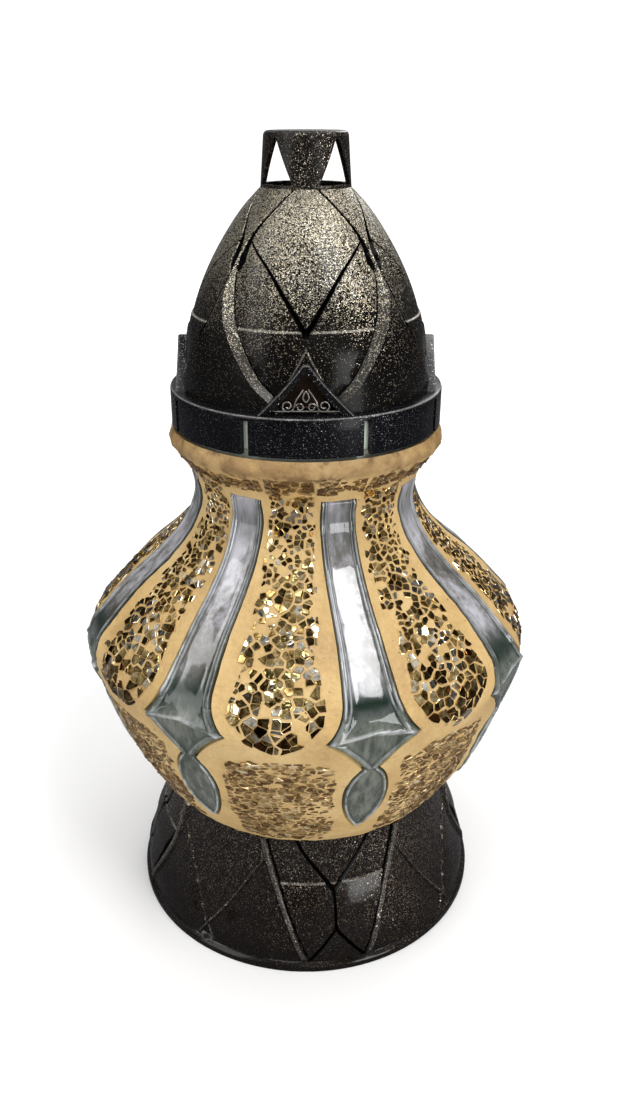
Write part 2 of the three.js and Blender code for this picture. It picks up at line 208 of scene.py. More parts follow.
def triangulated(domain, lines, holes, spacing, mm):
    """(azimuth, length) points and triangles over a rectangle, with edges along lines and holes."""
    az0, az1, s0, s1 = domain
    scale = np.array([mm, 1.0])
    corners = [(az0, s0), (az1, s0), (az1, s1), (az0, s1)]
    runs = [(resampled(np.array(corners) * scale, spacing, True), True)]
    runs += [(resampled(np.array(line) * scale, spacing), False) for line in lines]
    runs += [(resampled(np.array(hole) * scale, spacing, True), True) for hole in holes]
    points, edges = [], []
    for run, closed in runs:
        first, n = len(points), len(run)
        points += run.tolist()
        edges += [(first + i, first + i + 1) for i in range(n - 1)]
        if closed:
            edges.append((first + n - 1, first))
    wide, tall = (az1 - az0) * mm, s1 - s0
    rows = max(1, round(tall / (spacing * ROW_HEIGHT)))
    columns = max(1, round(wide / spacing))
    grid = np.array([((i + j % 2 / 2) * wide / columns + az0 * mm, s0 + j * tall / rows)
                     for j in range(1, rows) for i in range(1, columns)])
    if len(grid):
        a = np.array([points[i] for i, _ in edges])
        b = np.array([points[j] for _, j in edges])
        crowded = np.zeros(len(grid), bool)
        for k in range(0, len(grid), GRID_BATCH):
            g = grid[k:k + GRID_BATCH, None]
            ab = (b - a)[None]
            t = np.clip(((g - a) * ab).sum(-1) / np.maximum((ab * ab).sum(-1), 1e-12), 0, 1)
            gap = np.linalg.norm(g - a - t[..., None] * ab, axis=-1)
            crowded[k:k + GRID_BATCH] = gap.min(1) < spacing * GRID_CLEARANCE
        points += grid[~crowded].tolist()
    found = delaunay_2d_cdt([Vector(p) for p in points], edges, [], 0, 1e-5)
    flat = np.array([tuple(v) for v in found[0]])
    tris = np.array([f for f in found[2] if len(f) == 3])
    middle = flat[tris].mean(1)
    keep = (middle[:, 0] > az0 * mm) & (middle[:, 0] < az1 * mm)
    keep &= (middle[:, 1] > s0) & (middle[:, 1] < s1)
    for hole in holes:
        keep &= ~inside_polygon(middle, np.array(hole) * scale)
    tris = tris[keep]
    used, index = np.unique(tris, return_inverse=True)
    return flat[used] / scale, index.reshape(-1, 3)


def turned_shell(profile, wall, copies, first, lift=None, lines=(), holes=(), spacing=2.2,
                 lumps=None, marks=None):
    """Points, faces, inner flags and marks of a closed wall turned about the axis.

    One sector is meshed with edges along the relief of its outer face, and then repeated.
    """
    pitch = 360 / copies
    s0, s1 = profile.s[0], profile.s[-1]
    rows = [[(-pitch / 2, s), (pitch / 2, s)] for s in profile.corners if s0 < s < s1]
    mm = float(np.mean(profile.r)) * math.pi / 180
    flat, tris = triangulated((-pitch / 2, pitch / 2, s0, s1), [*lines, *rows], holes, spacing, mm)
    n = len(flat)
    left = np.flatnonzero(flat[:, 0] < -pitch / 2 + 1e-4)
    right = np.flatnonzero(flat[:, 0] > pitch / 2 - 1e-4)
    left, right = (side[np.argsort(flat[side, 1])] for side in (left, right))
    assert len(left) == len(right), (len(left), len(right))
    index = np.arange(n * copies).reshape(copies, n)
    index[:, right] = np.roll(index, -1, 0)[:, left]
    s = np.tile(flat[:, 1], copies)
    azimuth = np.concatenate([flat[:, 0] + first + pitch * k for k in range(copies)])
    up = np.zeros(n) if lift is None else lift(flat[:, 0], flat[:, 1])
    outer = profile.place(azimuth, s, np.tile(up, copies))
    if lumps:
        outer = profile.place(azimuth, s, np.tile(up, copies) + lumps(outer))
    inner = profile.place(azimuth, s, -wall)
    faces = np.concatenate([index[k][tris] for k in range(copies)])
    on_axis = np.flatnonzero(profile.radius(s) < 1e-6)
    if len(on_axis):
        faces = np.where(np.isin(faces, on_axis), on_axis[0], faces)
    i, j, k = faces.T
    faces = faces[(i != j) & (j != k) & (k != i)]
    a, b, c = (outer[faces[:, k]] for k in range(3))
    outward = (np.cross(b - a, c - a) * ((a + b + c) / 3 - inner[faces[:, 0]])).sum(1)
    faces[outward < 0] = faces[outward < 0][:, ::-1]
    directed = dict.fromkeys((f[k], f[(k + 1) % 3]) for f in faces.tolist() for k in range(3))
    total = n * copies
    rim = [(j, i, i + total, j + total) for i, j in directed if (j, i) not in directed]
    everything = [*faces.tolist(), *(faces[:, ::-1] + total).tolist(), *rim]
    points = np.vstack([outer, inner])
    used = sorted({i for f in everything for i in f})
    renumber = np.full(len(points), -1)
    renumber[used] = np.arange(len(used))
    kept = np.array(used)
    values = {key: ("POINT", np.concatenate([np.tile(value, copies), np.zeros(total)])[kept])
              for key, value in (marks(flat[:, 0], flat[:, 1]) if marks else {}).items()}
    return points[kept], [renumber[list(f)].tolist() for f in everything], kept >= total, values


def lofted(rings):
    """A solid between rings of the same number of points, capped at both ends."""
    n, m = len(rings), len(rings[0])
    faces = []
    for i in range(n - 1):
        for j in range(m):
            a, b = i * m + j, i * m + (j + 1) % m
            faces.append((a, b, b + m, a + m))
    faces += [tuple(range(m))[::-1], tuple((n - 1) * m + j for j in range(m))]
    return np.vstack(rings), faces


def lathe(outline, segments=96, wobble=None):
    """A solid turned from a closed outline; points at radius 0 are welded."""
    points, rows = [], []
    for r, z in outline:
        if r < 1e-6:
            points.append((0, 0, z))
            rows.append([len(points) - 1] * segments)
            continue
        row = []
        for k in range(segments):
            a = 2 * math.pi * k / segments
            extra = wobble(r, a, z) if wobble else 0
            points.append((r * math.sin(a), -r * math.cos(a), z + extra))
            row.append(len(points) - 1)
        rows.append(row)
    faces = []
    for lower, upper in zip(rows, rows[1:] + rows[:1]):
        for k in range(segments):
            f = [lower[k], lower[(k + 1) % segments], upper[(k + 1) % segments], upper[k]]
            f = [v for i, v in enumerate(f) if v != f[i - 1]]
            if len(f) > 2 and not (lower[0] == lower[1] and upper[0] == upper[1]):
                faces.append(tuple(f))
    return np.array(points, float), faces


# ---- Materials ---------------------------------------------------------------------------

def add_node(tree, kind, inputs=None, **settings):
    """A node with its settings, and each input linked to a socket or set to a value."""
    n = tree.nodes.new(kind)
    for key, value in settings.items():
        setattr(n, key, value)
    for key, value in (inputs or {}).items():
        if isinstance(value, bpy.types.NodeSocket):
            tree.links.new(value, n.inputs[key])
        else:
            n.inputs[key].default_value = value
    return n


def spread_node(tree, value, low, high, to_low, to_high):
    return add_node(tree, "ShaderNodeMapRange", {
        "Value": value, "From Min": low, "From Max": high, "To Min": to_low,
        "To Max": to_high}).outputs["Result"]


class Nodes:
    """A node material built with short calls."""

    def __init__(self, name):
        self.material = bpy.data.materials.new(name)
        self.material.use_nodes = True
        self.tree = self.material.node_tree
        self.tree.nodes.clear()
        self.output = self.tree.nodes.new("ShaderNodeOutputMaterial")
        self.place = self.add("ShaderNodeTexCoord").outputs["Object"]

    def add(self, kind, inputs=None, **settings):
        return add_node(self.tree, kind, inputs, **settings)

    def noise(self, scale, detail=3.0, rough=0.5, where=None):
        return self.add("ShaderNodeTexNoise", {"Vector": where or self.place, "Scale": scale,
                                               "Detail": detail, "Roughness": rough}).outputs["Fac"]

    def math(self, operation, a, b=0.0, clamp=False):
        return self.add("ShaderNodeMath", {0: a, 1: b}, operation=operation,
                        use_clamp=clamp).outputs[0]

    def times(self, a, b):
        return self.math("MULTIPLY", a, b)

    def plus(self, a, b, clamp=False):
        return self.math("ADD", a, b, clamp)

    def vector(self, operation, a, b=(0.0, 0.0, 0.0)):
        return self.add("ShaderNodeVectorMath", {0: a, 1: b}, operation=operation).outputs[0]

    def spread(self, value, low, high, to_low=0.0, to_high=1.0):
        return spread_node(self.tree, value, low, high, to_low, to_high)

    def mix(self, share, a, b):
        n = self.add("ShaderNodeMix", {"Factor": share}, data_type="RGBA")
        for key, value in (("A", a), ("B", b)):
            socket = next(i for i in n.inputs if i.name == key and i.type == "RGBA")
            if isinstance(value, bpy.types.NodeSocket):
                self.tree.links.new(value, socket)
            else:
                socket.default_value = (*value, 1.0)
        return next(o for o in n.outputs if o.type == "RGBA")

    def ramp(self, value, *stops):
        n = self.add("ShaderNodeValToRGB", {"Fac": value})
        while len(n.color_ramp.elements) < len(stops):
            n.color_ramp.elements.new(0.5)
        for element, (at, colour) in zip(n.color_ramp.elements, stops):
            element.position, element.color = at, (*colour, 1.0)
        return n.outputs["Color"]

    def bump(self, height, distance, strength=1.0):
        return self.add("ShaderNodeBump", {"Height": height, "Distance": distance,
                                           "Strength": strength}).outputs["Normal"]

    def surface(self, **inputs):
        named = {key.replace("_", " "): value for key, value in inputs.items()}
        shader = self.add("ShaderNodeBsdfPrincipled", {
            k: (*v, 1.0) if isinstance(v, tuple) and k != "Subsurface Radius" and len(v) == 3 else v
            for k, v in named.items()})
        self.tree.links.new(shader.outputs[0], self.output.inputs["Surface"])
        return shader

    def mark(self, name):
        return self.add("ShaderNodeAttribute", attribute_name=name).outputs["Fac"]

    def axis(self, letter):
        return self.add("ShaderNodeSeparateXYZ", {0: self.place}).outputs[letter]


FLAKE_REACH = 0.62  # a flake fills this much of its cell
FLAKE_TILT = 0.8
# Grey of the painted highlight lines, and black of the painted shade in groove bottoms.
PAINTED_HIGHLIGHT, GROOVE_SHADE = (0.42, 0.41, 0.39), (0.0015, 0.0013, 0.0012)


def glitter_plastic(name, density, plastic, flakes, gloss=0.22, cell=0.30, coat=0.10,
                    edge=(0.085, 0.080, 0.072), full_at=0.1, gleam=0.20):
    """Dark plastic dusted with metal flakes; density(nodes) gives their share of the surface.

    The mark "groove" is the bottom of a cut line: no flake reaches it, and it is painted black
    with no gloss, as painted shade. The mark "pale" is painted highlight on an edge, bevel or
    ledge that catches the light: a lighter ground and more flakes, and above 1 a bright painted
    highlight line broken up by noise. Flakes are dim where their share is below full_at.
    """
    m = Nodes(name)
    # Painted shade: groove bottoms lose their flakes and go black and glossless.
    deep = m.spread(m.mark("groove"), 0.12, 0.38)
    pale = m.spread(m.mark("pale"), 0.4, 0.8)
    cells = m.add("ShaderNodeTexVoronoi", {"Vector": m.place, "Scale": 1000 / cell,
                                           "Randomness": 1.0})
    parts = m.add("ShaderNodeSeparateColor", {0: cells.outputs["Color"]}).outputs
    share = m.plus(density(m), m.times(pale, 0.30))
    share = m.times(share, m.math("SUBTRACT", 1.0, deep))
    flake = m.times(m.math("LESS_THAN", parts["Red"], share),
                    m.math("LESS_THAN", cells.outputs["Distance"], FLAKE_REACH))
    tint = m.ramp(m.times(parts["Green"], m.spread(share, 0.05, full_at, 0.3, 1.0)), *flakes)
    dust = m.spread(m.noise(900, 4, 0.7), 0.3, 0.75)
    dark = m.mix(dust, tuple(c * 0.6 for c in plastic), tuple(c * 1.7 for c in plastic))
    # Painted highlight: edges and bevels get a lighter ground.
    dark = m.mix(m.times(pale, 0.8), dark, edge)
    # Painted highlight lines where the mark is above 1, broken up by noise.
    highlight_line = m.times(m.spread(m.mark("pale"), 1.0, 1.6),
                     m.spread(m.noise(210, 3, 0.6), 0.36, 0.6))
    dark = m.mix(highlight_line, dark, PAINTED_HIGHLIGHT)
    dark = m.mix(deep, dark, GROOVE_SHADE)
    tilt = m.vector("SUBTRACT", cells.outputs["Color"], (0.5, 0.5, 0.5))
    tilt = m.add("ShaderNodeVectorMath", {0: tilt, "Scale": m.times(flake, FLAKE_TILT)},
                 operation="SCALE").outputs[0]
    scuffs = m.bump(m.noise(160, 5, 0.6), 0.00010, 0.5)
    wear = m.spread(m.noise(45, 4, 0.6), 0.35, 0.7, gloss - 0.05, gloss + 0.12)
    wear = m.plus(wear, m.times(deep, 0.5))
    m.surface(Base_Color=m.mix(flake, dark, tint),
              Metallic=m.plus(m.times(flake, 0.85), deep, True),
              Roughness=m.add("ShaderNodeMix", {0: flake, 2: wear, 3: 0.34}).outputs[0],
              Normal=m.vector("NORMALIZE", m.vector("ADD", scuffs, tilt)),
              Specular_IOR_Level=gleam, Coat_Weight=coat, Coat_Roughness=0.12)
    return m.material


GOLD_FLAKES = ((0.0, (0.12, 0.100, 0.075)), (0.35, (0.36, 0.315, 0.235)),
               (0.7, (0.70, 0.62, 0.45)), (1.0, (0.98, 0.95, 0.87)))
BROWN_FLAKES = ((0.0, (0.035, 0.025, 0.018)), (0.45, (0.10, 0.074, 0.052)),
                (0.8, (0.27, 0.22, 0.165)), (1.0, (0.80, 0.74, 0.64)))
COOL_FLAKES = ((0.0, (0.04, 0.04, 0.045)), (0.55, (0.15, 0.15, 0.17)),
               (0.88, (0.45, 0.46, 0.52)), (1.0, (0.95, 0.95, 1.0)))


def dome_density(m):
    """Sprayed from above: dense champagne round the crown, thinning down the dome."""
    patchy = m.spread(m.noise(28, 3, 0.55), 0.3, 0.7, -0.010, 0.010)
    height = m.plus(m.axis("Z"), patchy)
    low = m.spread(height, 0.220, 0.246, 0.05, 0.12)
    return m.plus(low, m.spread(height, 0.243, 0.272, 0.0, 0.60))


def even_density(low, high):
    def density(m):
        return m.spread(m.noise(22, 4, 0.6), 0.3, 0.7, low, high)
    return density


def pedestal_density(m):
    return m.plus(m.spread(m.axis("Z"), 0.004, 0.05, 0.16, 0.42),
                  m.spread(m.noise(30, 4, 0.6), 0.3, 0.7, -0.06, 0.08))


PLASTIC = (0.0036, 0.0031, 0.0028)
COOL_PLASTIC, WARM_PLASTIC = (0.0026, 0.0026, 0.0034), (0.0042, 0.0031, 0.0027)
dome_plastic = glitter_plastic(
    "dome_plastic", dome_density, PLASTIC, GOLD_FLAKES, cell=0.26, coat=0.05, full_at=0.42,
    gleam=0.10)
crown_plastic = glitter_plastic(
    "crown_plastic", even_density(0.24, 0.44), PLASTIC, BROWN_FLAKES, gloss=0.30, cell=0.23,
    coat=0.0)
skirt_plastic = glitter_plastic(
    "skirt_plastic", even_density(0.05, 0.13), COOL_PLASTIC, COOL_FLAKES, gloss=0.2, cell=0.22,
    coat=0.05, gleam=0.12)
arch_plastic = glitter_plastic(
    "arch_plastic", even_density(0.08, 0.18), PLASTIC, COOL_FLAKES)
pedestal_plastic = glitter_plastic(
    "pedestal_plastic", pedestal_density, WARM_PLASTIC, BROWN_FLAKES, gloss=0.13, cell=0.28,
    coat=0.17, edge=(0.056, 0.052, 0.048), full_at=0.38, gleam=0.22)


def grout_material():
    m = Nodes("cream_grout")
    broad, fine, medium = m.noise(35, 4, 0.6), m.noise(700, 5, 0.65), m.noise(110, 4, 0.6)
    colour = m.ramp(m.plus(m.times(broad, 0.7), m.times(fine, 0.3)),
                    (0.30, (0.37, 0.230, 0.09)), (0.5, (0.51, 0.340, 0.138)),
                    (0.72, (0.61, 0.45, 0.215)))
    specks = m.math("LESS_THAN", m.noise(420, 2, 0.5), 0.27)
    colour = m.mix(m.times(specks, 0.6), colour, (0.16, 0.085, 0.035))
    z = m.axis("Z")
    top = m.spread(z, 0.2026, 0.2042)
    hem = m.times(m.spread(z, 0.1955, 0.1972), m.spread(z, 0.1985, 0.2005, 1.0, 0.0))
    # The collar, from its hem up, is darker in patches.
    darker_collar = m.times(m.spread(z, 0.1965, 0.1995),
                   m.spread(m.noise(75, 5, 0.7), 0.38, 0.62, 1.0, 0.42))
    colour = m.mix(darker_collar, colour, (0.24, 0.138, 0.05))
    flaking = m.spread(m.noise(150, 4, 0.65), 0.40, 0.46, 1.0, 0.0)
    flaking = m.times(flaking, m.math("MAXIMUM", top, hem))
    colour = m.mix(m.times(flaking, 0.8), colour, (0.14, 0.075, 0.03))
    height = m.plus(m.times(fine, 0.25), m.noise(190, 4, 0.55))
    height = m.plus(height, m.times(medium, 1.6))
    m.surface(Base_Color=colour, Roughness=m.spread(broad, 0.3, 0.7, 0.42, 0.62),
              Normal=m.bump(height, 0.0009, 0.85), Specular_IOR_Level=0.42)
    return m.material


def mirror_material(name, dark, amber, middle, bright, pale, rough, metal=1.0):
    """Broken mirror: a tone for each shard, with faint flow marks and scratches inside it."""
    m = Nodes(name)
    streak = m.noise(380, 3, 0.6)
    tone = m.plus(m.mark("tone"), m.spread(streak, 0.36, 0.64, -0.24, 0.24), True)
    colour = m.ramp(tone, (0.0, dark), (0.10, amber), (0.22, dark), (0.40, middle),
                    (0.70, bright), (1.0, pale))
    m.surface(Base_Color=colour, Metallic=metal,
              Roughness=m.spread(m.noise(600, 4, 0.6), 0.3, 0.7, rough * 0.6, rough * 1.6),
              Normal=m.bump(m.noise(240, 2, 0.5), 0.00035, 0.5))
    return m.material


def lamps_shine_through(m, shader):
    """Lets lamp light straight through a glass surface, as thick clear glass does."""
    through = m.add("ShaderNodeBsdfTransparent", {0: (0.86, 0.90, 0.88, 1)})
    lamp = m.add("ShaderNodeLightPath").outputs["Is Shadow Ray"]
    both = m.add("ShaderNodeMixShader", {0: lamp, 1: shader.outputs[0], 2: through.outputs[0]})
    m.tree.links.new(both.outputs[0], m.output.inputs["Surface"])


def jar_material():
    m = Nodes("jar_glass")
    shader = m.surface(Base_Color=(0.86, 0.93, 0.90), IOR=1.5, Transmission_Weight=1.0,
                       Roughness=m.spread(m.noise(60, 4), 0.3, 0.7, 0.02, 0.09),
                       Normal=m.bump(m.noise(90, 3), 0.0004, 0.5))
    lamps_shine_through(m, shader)
    return m.material


def rib_material():
    """Thick pressed glass with painted light: a streaky grey body that stands in for what is seen
    through and reflected in it, green-grey in the head, painted shade at the edges and painted
    highlight lines.
    """
    m = Nodes("rib_glass")
    drawn = m.vector("MULTIPLY", m.place, (1.0, 1.0, 0.16))
    streak, cloud = m.noise(330, 3, 0.6, where=drawn), m.noise(46, 1.5, 0.5, where=drawn)
    tone = m.plus(m.times(streak, 0.35), m.times(cloud, 0.65))
    # Painted reflection: streaks from dark to pale grey in place of what the glass shows.
    colour = m.ramp(tone, (0.36, (0.075, 0.067, 0.055)), (0.48, (0.21, 0.20, 0.19)),
                    (0.60, (0.60, 0.59, 0.64)))
    grey = m.mix(m.spread(streak, 0.35, 0.65), (0.085, 0.098, 0.082), (0.25, 0.262, 0.228))
    colour = m.mix(m.mark("head"), colour, grey)
    # Painted shade, tinted green, at the edges and in the valleys.
    colour = m.mix(m.mark("edge"), colour, (0.019, 0.034, 0.025))
    # Painted highlight lines, broken up by noise.
    broken = m.times(m.mark("painted_glint"), m.spread(m.noise(170, 3, 0.6), 0.36, 0.58, 0.2, 1.0))
    colour = m.mix(broken, colour, (0.94, 0.96, 0.97))
    shader = m.surface(Base_Color=colour, Roughness=m.spread(m.noise(60, 4), 0.3, 0.7, 0.03, 0.10),
                       IOR=1.55, Transmission_Weight=0.40,
                       Normal=m.bump(m.noise(70, 1.5, 0.5, where=drawn), 0.0005, 0.5))
    lamps_shine_through(m, shader)
    return m.material


def plain_material(name, low, high, rough, scale, bump=0.0001, metal=0.0, **more):
    m = Nodes(name)
    pattern = m.noise(scale, 5, 0.6)
    m.surface(Base_Color=m.mix(m.spread(pattern, 0.3, 0.7), low, high), Metallic=metal,
              Roughness=m.spread(pattern, 0.3, 0.7, rough * 0.8, rough * 1.25),
              Normal=m.bump(pattern, bump, 0.6), **more)
    return m.material


grout = grout_material()
adhesive = plain_material("grey_adhesive", (0.10, 0.10, 0.10), (0.22, 0.22, 0.23), 0.7, 140)
mirror_gold = mirror_material("mirror_gold", (0.04, 0.020, 0.006), (0.24, 0.095, 0.025),
                              (0.26, 0.17, 0.055), (0.62, 0.45, 0.19), (0.97, 0.92, 0.78), 0.07)
mirror_bronze = mirror_material("mirror_bronze", (0.13, 0.075, 0.032), (0.25, 0.14, 0.06),
                                (0.34, 0.215, 0.088), (0.56, 0.40, 0.19), (0.92, 0.80, 0.55),
                                0.13, 0.6)
rib_glass = rib_material()
jar_glass = jar_material()
rim_glass = plain_material("frosted_rim_glass", (0.64, 0.72, 0.60), (0.80, 0.87, 0.76), 0.22, 120,
                           0.0002, Transmission_Weight=0.25, IOR=1.5)
shield_metal = plain_material("shield_metal", (0.045, 0.026, 0.016), (0.11, 0.066, 0.042), 0.4, 90,
                              metal=0.9)
scroll_plastic = plain_material("scroll_plastic", (0.16, 0.14, 0.125), (0.42, 0.40, 0.37), 0.2, 260,
                                metal=0.7)
cup_plastic = plain_material("cup_plastic", (0.78, 0.76, 0.76), (0.86, 0.84, 0.84), 0.4, 70)
wax = plain_material("wax", (0.84, 0.76, 0.58), (0.90, 0.84, 0.68), 0.42, 60, 0.0004,
                     Subsurface_Weight=0.3, Subsurface_Radius=(0.004, 0.003, 0.002),
                     Subsurface_Scale=1.0)
cotton = plain_material("cotton", (0.62, 0.58, 0.48), (0.86, 0.82, 0.72), 0.9, 1400, 0.0003)
tin = plain_material("tin", (0.50, 0.51, 0.52), (0.68, 0.69, 0.70), 0.3, 260, metal=1.0)

# ---- Jar ribs: a fluted band, an arrow head and a drop -------------------------------------

def bezier(points, steps=14):
    p = np.array(points, float)
    t = np.linspace(0, 1, steps + 1)[:, None]
    if len(p) == 3:
        return (1 - t) ** 2 * p[0] + 2 * t * (1 - t) * p[1] + t**2 * p[2]
    return ((1 - t) ** 3 * p[0] + 3 * t * (1 - t) ** 2 * p[1] + 3 * t**2 * (1 - t) * p[2]
            + t**3 * p[3])


def side_outline(*stretches):
    """Half width against height, as an array of (height, half width) that climbs."""
    points = np.vstack([bezier(s) for s in stretches])
    points = points[np.argsort(points[:, 1], kind="stable")]
    keep = np.concatenate([[True], np.diff(points[:, 1]) > 1e-6])
    return points[keep][:, ::-1]


RIB = side_outline(
    [(6.3, 188.0), (6.2, 168), (7.2, 148), (9.9, 130.5)],
    [(9.9, 130.5), (11.4, 124), (17.0, 118.6)], [(17.0, 118.6), (9.0, 113.5), (3.2, 104.8)],
    [(3.2, 104.8), (10.6, 97), (10.2, 81), (0.3, 67.5)])
UPPER_PANEL = side_outline(
    [(7.7, 190.4), (8.4, 168), (10.5, 150), (16.8, 128.5)],
    [(16.8, 128.5), (14.5, 117.5), (0, 113.0)])
LOWER_PANEL = side_outline(
    [(0, 109.8), (12.0, 109.4), (19.5, 105.5)], [(19.5, 105.5), (20.5, 84), (16.0, 60.2)],
    [(16.0, 60.2), (13.5, 57.6), (0, 57.2)])

body = Profile(BODY)


def half_width(outline, z):
    return np.interp(z, outline[:, 0], outline[:, 1], left=-1.0, right=-1.0)


def lean(outline, z):
    """Cosine of the outline's slope, which turns a sideways distance into a square one."""
    rate = (half_width(outline, z + 0.4) - half_width(outline, z - 0.4)) / 0.8
    return 1 / np.hypot(1, np.clip(rate, -3, 3))


def outline_on(profile, outline, grow=0.0):
    """The closed outline as (azimuth, length) on a turned surface, in order round it."""
    z, w = outline[:, 0], outline[:, 1] + grow
    keep = w > 0.05
    z, w = z[keep], w[keep]
    s = profile.length(z)
    a = np.degrees(np.arcsin(np.clip(w / profile.radius(s), -1, 1)))
    right = np.stack([a, s], 1)
    left = np.stack([-a, s], 1)[::-1]
    return np.vstack([right, left])


FLUTE_AT = np.array([0, 0.3, 0.8, 1.3, 1.8, 2.3, 2.8, 3.3, 4.0])
FLUTE_SHARE = 0.105  # of a millimetre of flute for each millimetre of the band's half width
BAND_LIFT = np.array([-0.7, 0.45, 1.45, 1.35, 0.55, 0.5, 1.25, 0.7, 0.8])
ARROW_AT = np.array([0, 0.3, 0.8, 1.8, 2.6, 3.6, 20])
ARROW_LIFT = np.array([-0.7, 0.35, 0.9, 1.9, 1.75, 1.15, 1.3])
DROP_AT = np.array([0, 0.3, 0.8, 1.3, 1.8, 2.6, 20])
DROP_LIFT = np.array([-0.7, 0.3, 1.1, 1.85, 1.2, 0.75, 0.8])
BAND_END, CHEVRON, WAIST = 126.6, 121.6, 105.0
RIB_FOOT, RIB_TOP = 67.5, 188.0
RIB_SUNK = 0.7  # the rim of a rib starts this far under the surface


def chevron(x):
    """Height of the ridge across a rib's head."""
    return CHEVRON - np.abs(x) * 0.17


def flute_scale(w, z):
    """The flutes of the band grow with its width; the head and the drop keep one bevel."""
    return np.where(z > CHEVRON, np.minimum(1.0, FLUTE_SHARE * w), 1.0)


def rib_lift(x, z):
    w = half_width(RIB, z)
    d = (w - np.abs(x)) * lean(RIB, z)
    k = flute_scale(w, z)
    band = np.interp(d / k, FLUTE_AT, BAND_LIFT)
    band -= 0.25 * np.clip((d / k - 4.0) / 3.0, 0, 1)
    arrow = np.interp(d, ARROW_AT, ARROW_LIFT)
    ridge = chevron(x)
    arrow += 0.8 * np.clip(1 - np.abs(z - ridge) / 1.3, 0, 1) * np.clip(d / 1.5, 0, 1)
    arrow -= 0.6 * smoothstep(z, ridge + 1.0, ridge + 3.0) * np.clip(d / 1.5, 0, 1)
    drop = np.interp(d, DROP_AT, DROP_LIFT)
    to_band = smoothstep(z, BAND_END - 1.2, BAND_END + 0.8)
    to_drop = 1 - smoothstep(z, WAIST - 0.8, WAIST + 0.8)
    lift = arrow * (1 - to_band) * (1 - to_drop) + band * to_band + drop * to_drop
    top = smoothstep(z, RIB_TOP, RIB_TOP - 1.4)
    return -RIB_SUNK + (lift + RIB_SUNK) * np.where(z > 180, top, 1)


def near(value, centre, width):
    return np.exp(-((value - centre) / width) ** 2)


def rib_marks(x, d, z, k):
    """Painted light on a rib: dark green painted shade at its edges, in its valleys and in dim
    zones, painted highlight lines on its ridges, and grey in its head.
    """
    band = float(smoothstep(z, BAND_END - 1.5, BAND_END + 2.5))
    drop = float(z < WAIST)
    rim = 0.95 * np.clip(1.35 - d / (0.9 if band > 0.5 else 1.3), 0, 1)
    valley = 0.9 * near(d / k, 2.05, 0.5) * band + 0.7 * near(d / k, 3.4, 0.35) * band
    dusk = near(z, BAND_END + 3.0, 5.0) * (d > 1.6) + 0.5 * near(z, 178.0, 6.0) * (d / k > 3.5)
    dusk = dusk + 0.75 * near(d, 1.9, 0.5) * drop
    dusk = dusk + 0.6 * near(d, 3.4, 0.6) * (1 - band) * (1 - drop)
    # Painted shade: the rim, the valleys and the dim zones.
    edge = np.maximum(np.maximum(rim, valley), dusk)
    # Painted highlight lines along the ridge, the head's facets, the flutes and the drop.
    ridge = 0.75 * near(z, chevron(x), 0.45) * (d > 0.8)
    facet = 0.4 * near(d, 2.6, 0.30) * (1 - band) * (1 - drop)
    bead = 0.6 * near(d / k, 1.3, 0.28) + 0.5 * near(d / k, 2.8, 0.25)
    painted_glint = np.maximum(np.maximum(ridge, facet) * (1 - band), bead * band)
    painted_glint = np.maximum(painted_glint, 0.9 * near(d, 1.35, 0.32) * drop)
    return {"edge": np.clip(edge, 0, 1) * (1 - 0.7 * painted_glint), "painted_glint": painted_glint,
            "head": np.full(len(x), 1 - band)}


def make_rib(number, azimuth):
    rows = np.concatenate([np.linspace(RIB_FOOT, 104.0, 48), np.linspace(104.6, 130.4, 44),
                           np.linspace(131.6, 185.6, 40), np.linspace(186.2, RIB_TOP, 5)])
    rings, marks = [], {"edge": [], "painted_glint": [], "head": []}
    for z in rows:
        w, c = max(half_width(RIB, z), 0.3), lean(RIB, z)
        k = float(flute_scale(w, z))
        steps = FLUTE_AT * k / c
        if steps[-1] > w * 0.8:
            steps = steps * (w * 0.8 / steps[-1])
        half = np.concatenate([w - steps, (w - steps[-1]) * np.array([0.66, 0.33])])
        x = np.concatenate([-half, [0], half[::-1]])
        s = body.length(np.full(len(x), z))
        a = azimuth + np.degrees(np.arcsin(x / body.radius(s)))
        top = body.place(a, s, rib_lift(x, np.full(len(x), z)))
        under = body.place(a, s, np.full(len(x), -JAR_DEPTH - GLASS_WALL))
        rings.append(np.vstack([top, under[::-1]]))
        for key, values in rib_marks(x, (w - np.abs(x)) * c, z, k).items():
            marks[key].append(np.concatenate([values, values[::-1]]))
    points, faces = lofted(rings)
    make(f"rib_{number}", points, faces, rib_glass, "lantern", ["glass_jar"], "clear_glass", 40,
         {key: ("POINT", np.concatenate(values)) for key, values in marks.items()})


for k in range(RIB_COUNT):
    make_rib(k + 1, FIRST_RIB + RIB_PITCH * k)

# ---- Jar wall, grout and mirror shards -----------------------------------------------------

def jar_profile():
    """The clear wall under the mosaic, up from a flat foot."""
    s = np.linspace(body.s[0], body.length(200.0), 60)
    lowered = body.place(np.zeros(len(s)), s, np.full(len(s), -JAR_DEPTH))
    wall = [(-y, z) for _, y, z in lowered]
    foot = [(0.0, 41.5), (20.0, 41.5), (44.0, 41.5), (45.6, 41.9), (47.0, 43.2)]
    return Profile([*foot, *wall], smooth=False)


jar = jar_profile()
points, faces, _, _ = turned_shell(
    jar, GLASS_WALL, RIB_COUNT, FIRST_RIB, holes=[outline_on(jar, RIB)], spacing=4.0)
make("jar_wall", points, faces, jar_glass, "lantern", ["glass_jar"], "clear_glass", 30)
jar_rim = lathe([(46.2, 200.6), (46.2, 206.2), (47.5, 207.2), (47.5, 215.6), (47.0, 216.6),
                 (45.6, 217.0), (43.9, 216.7), (43.4, 215.8), (43.4, 200.6)], 144)
make("jar_rim", *jar_rim, rim_glass, "lantern", ["glass_jar"], "clear_glass", 40)


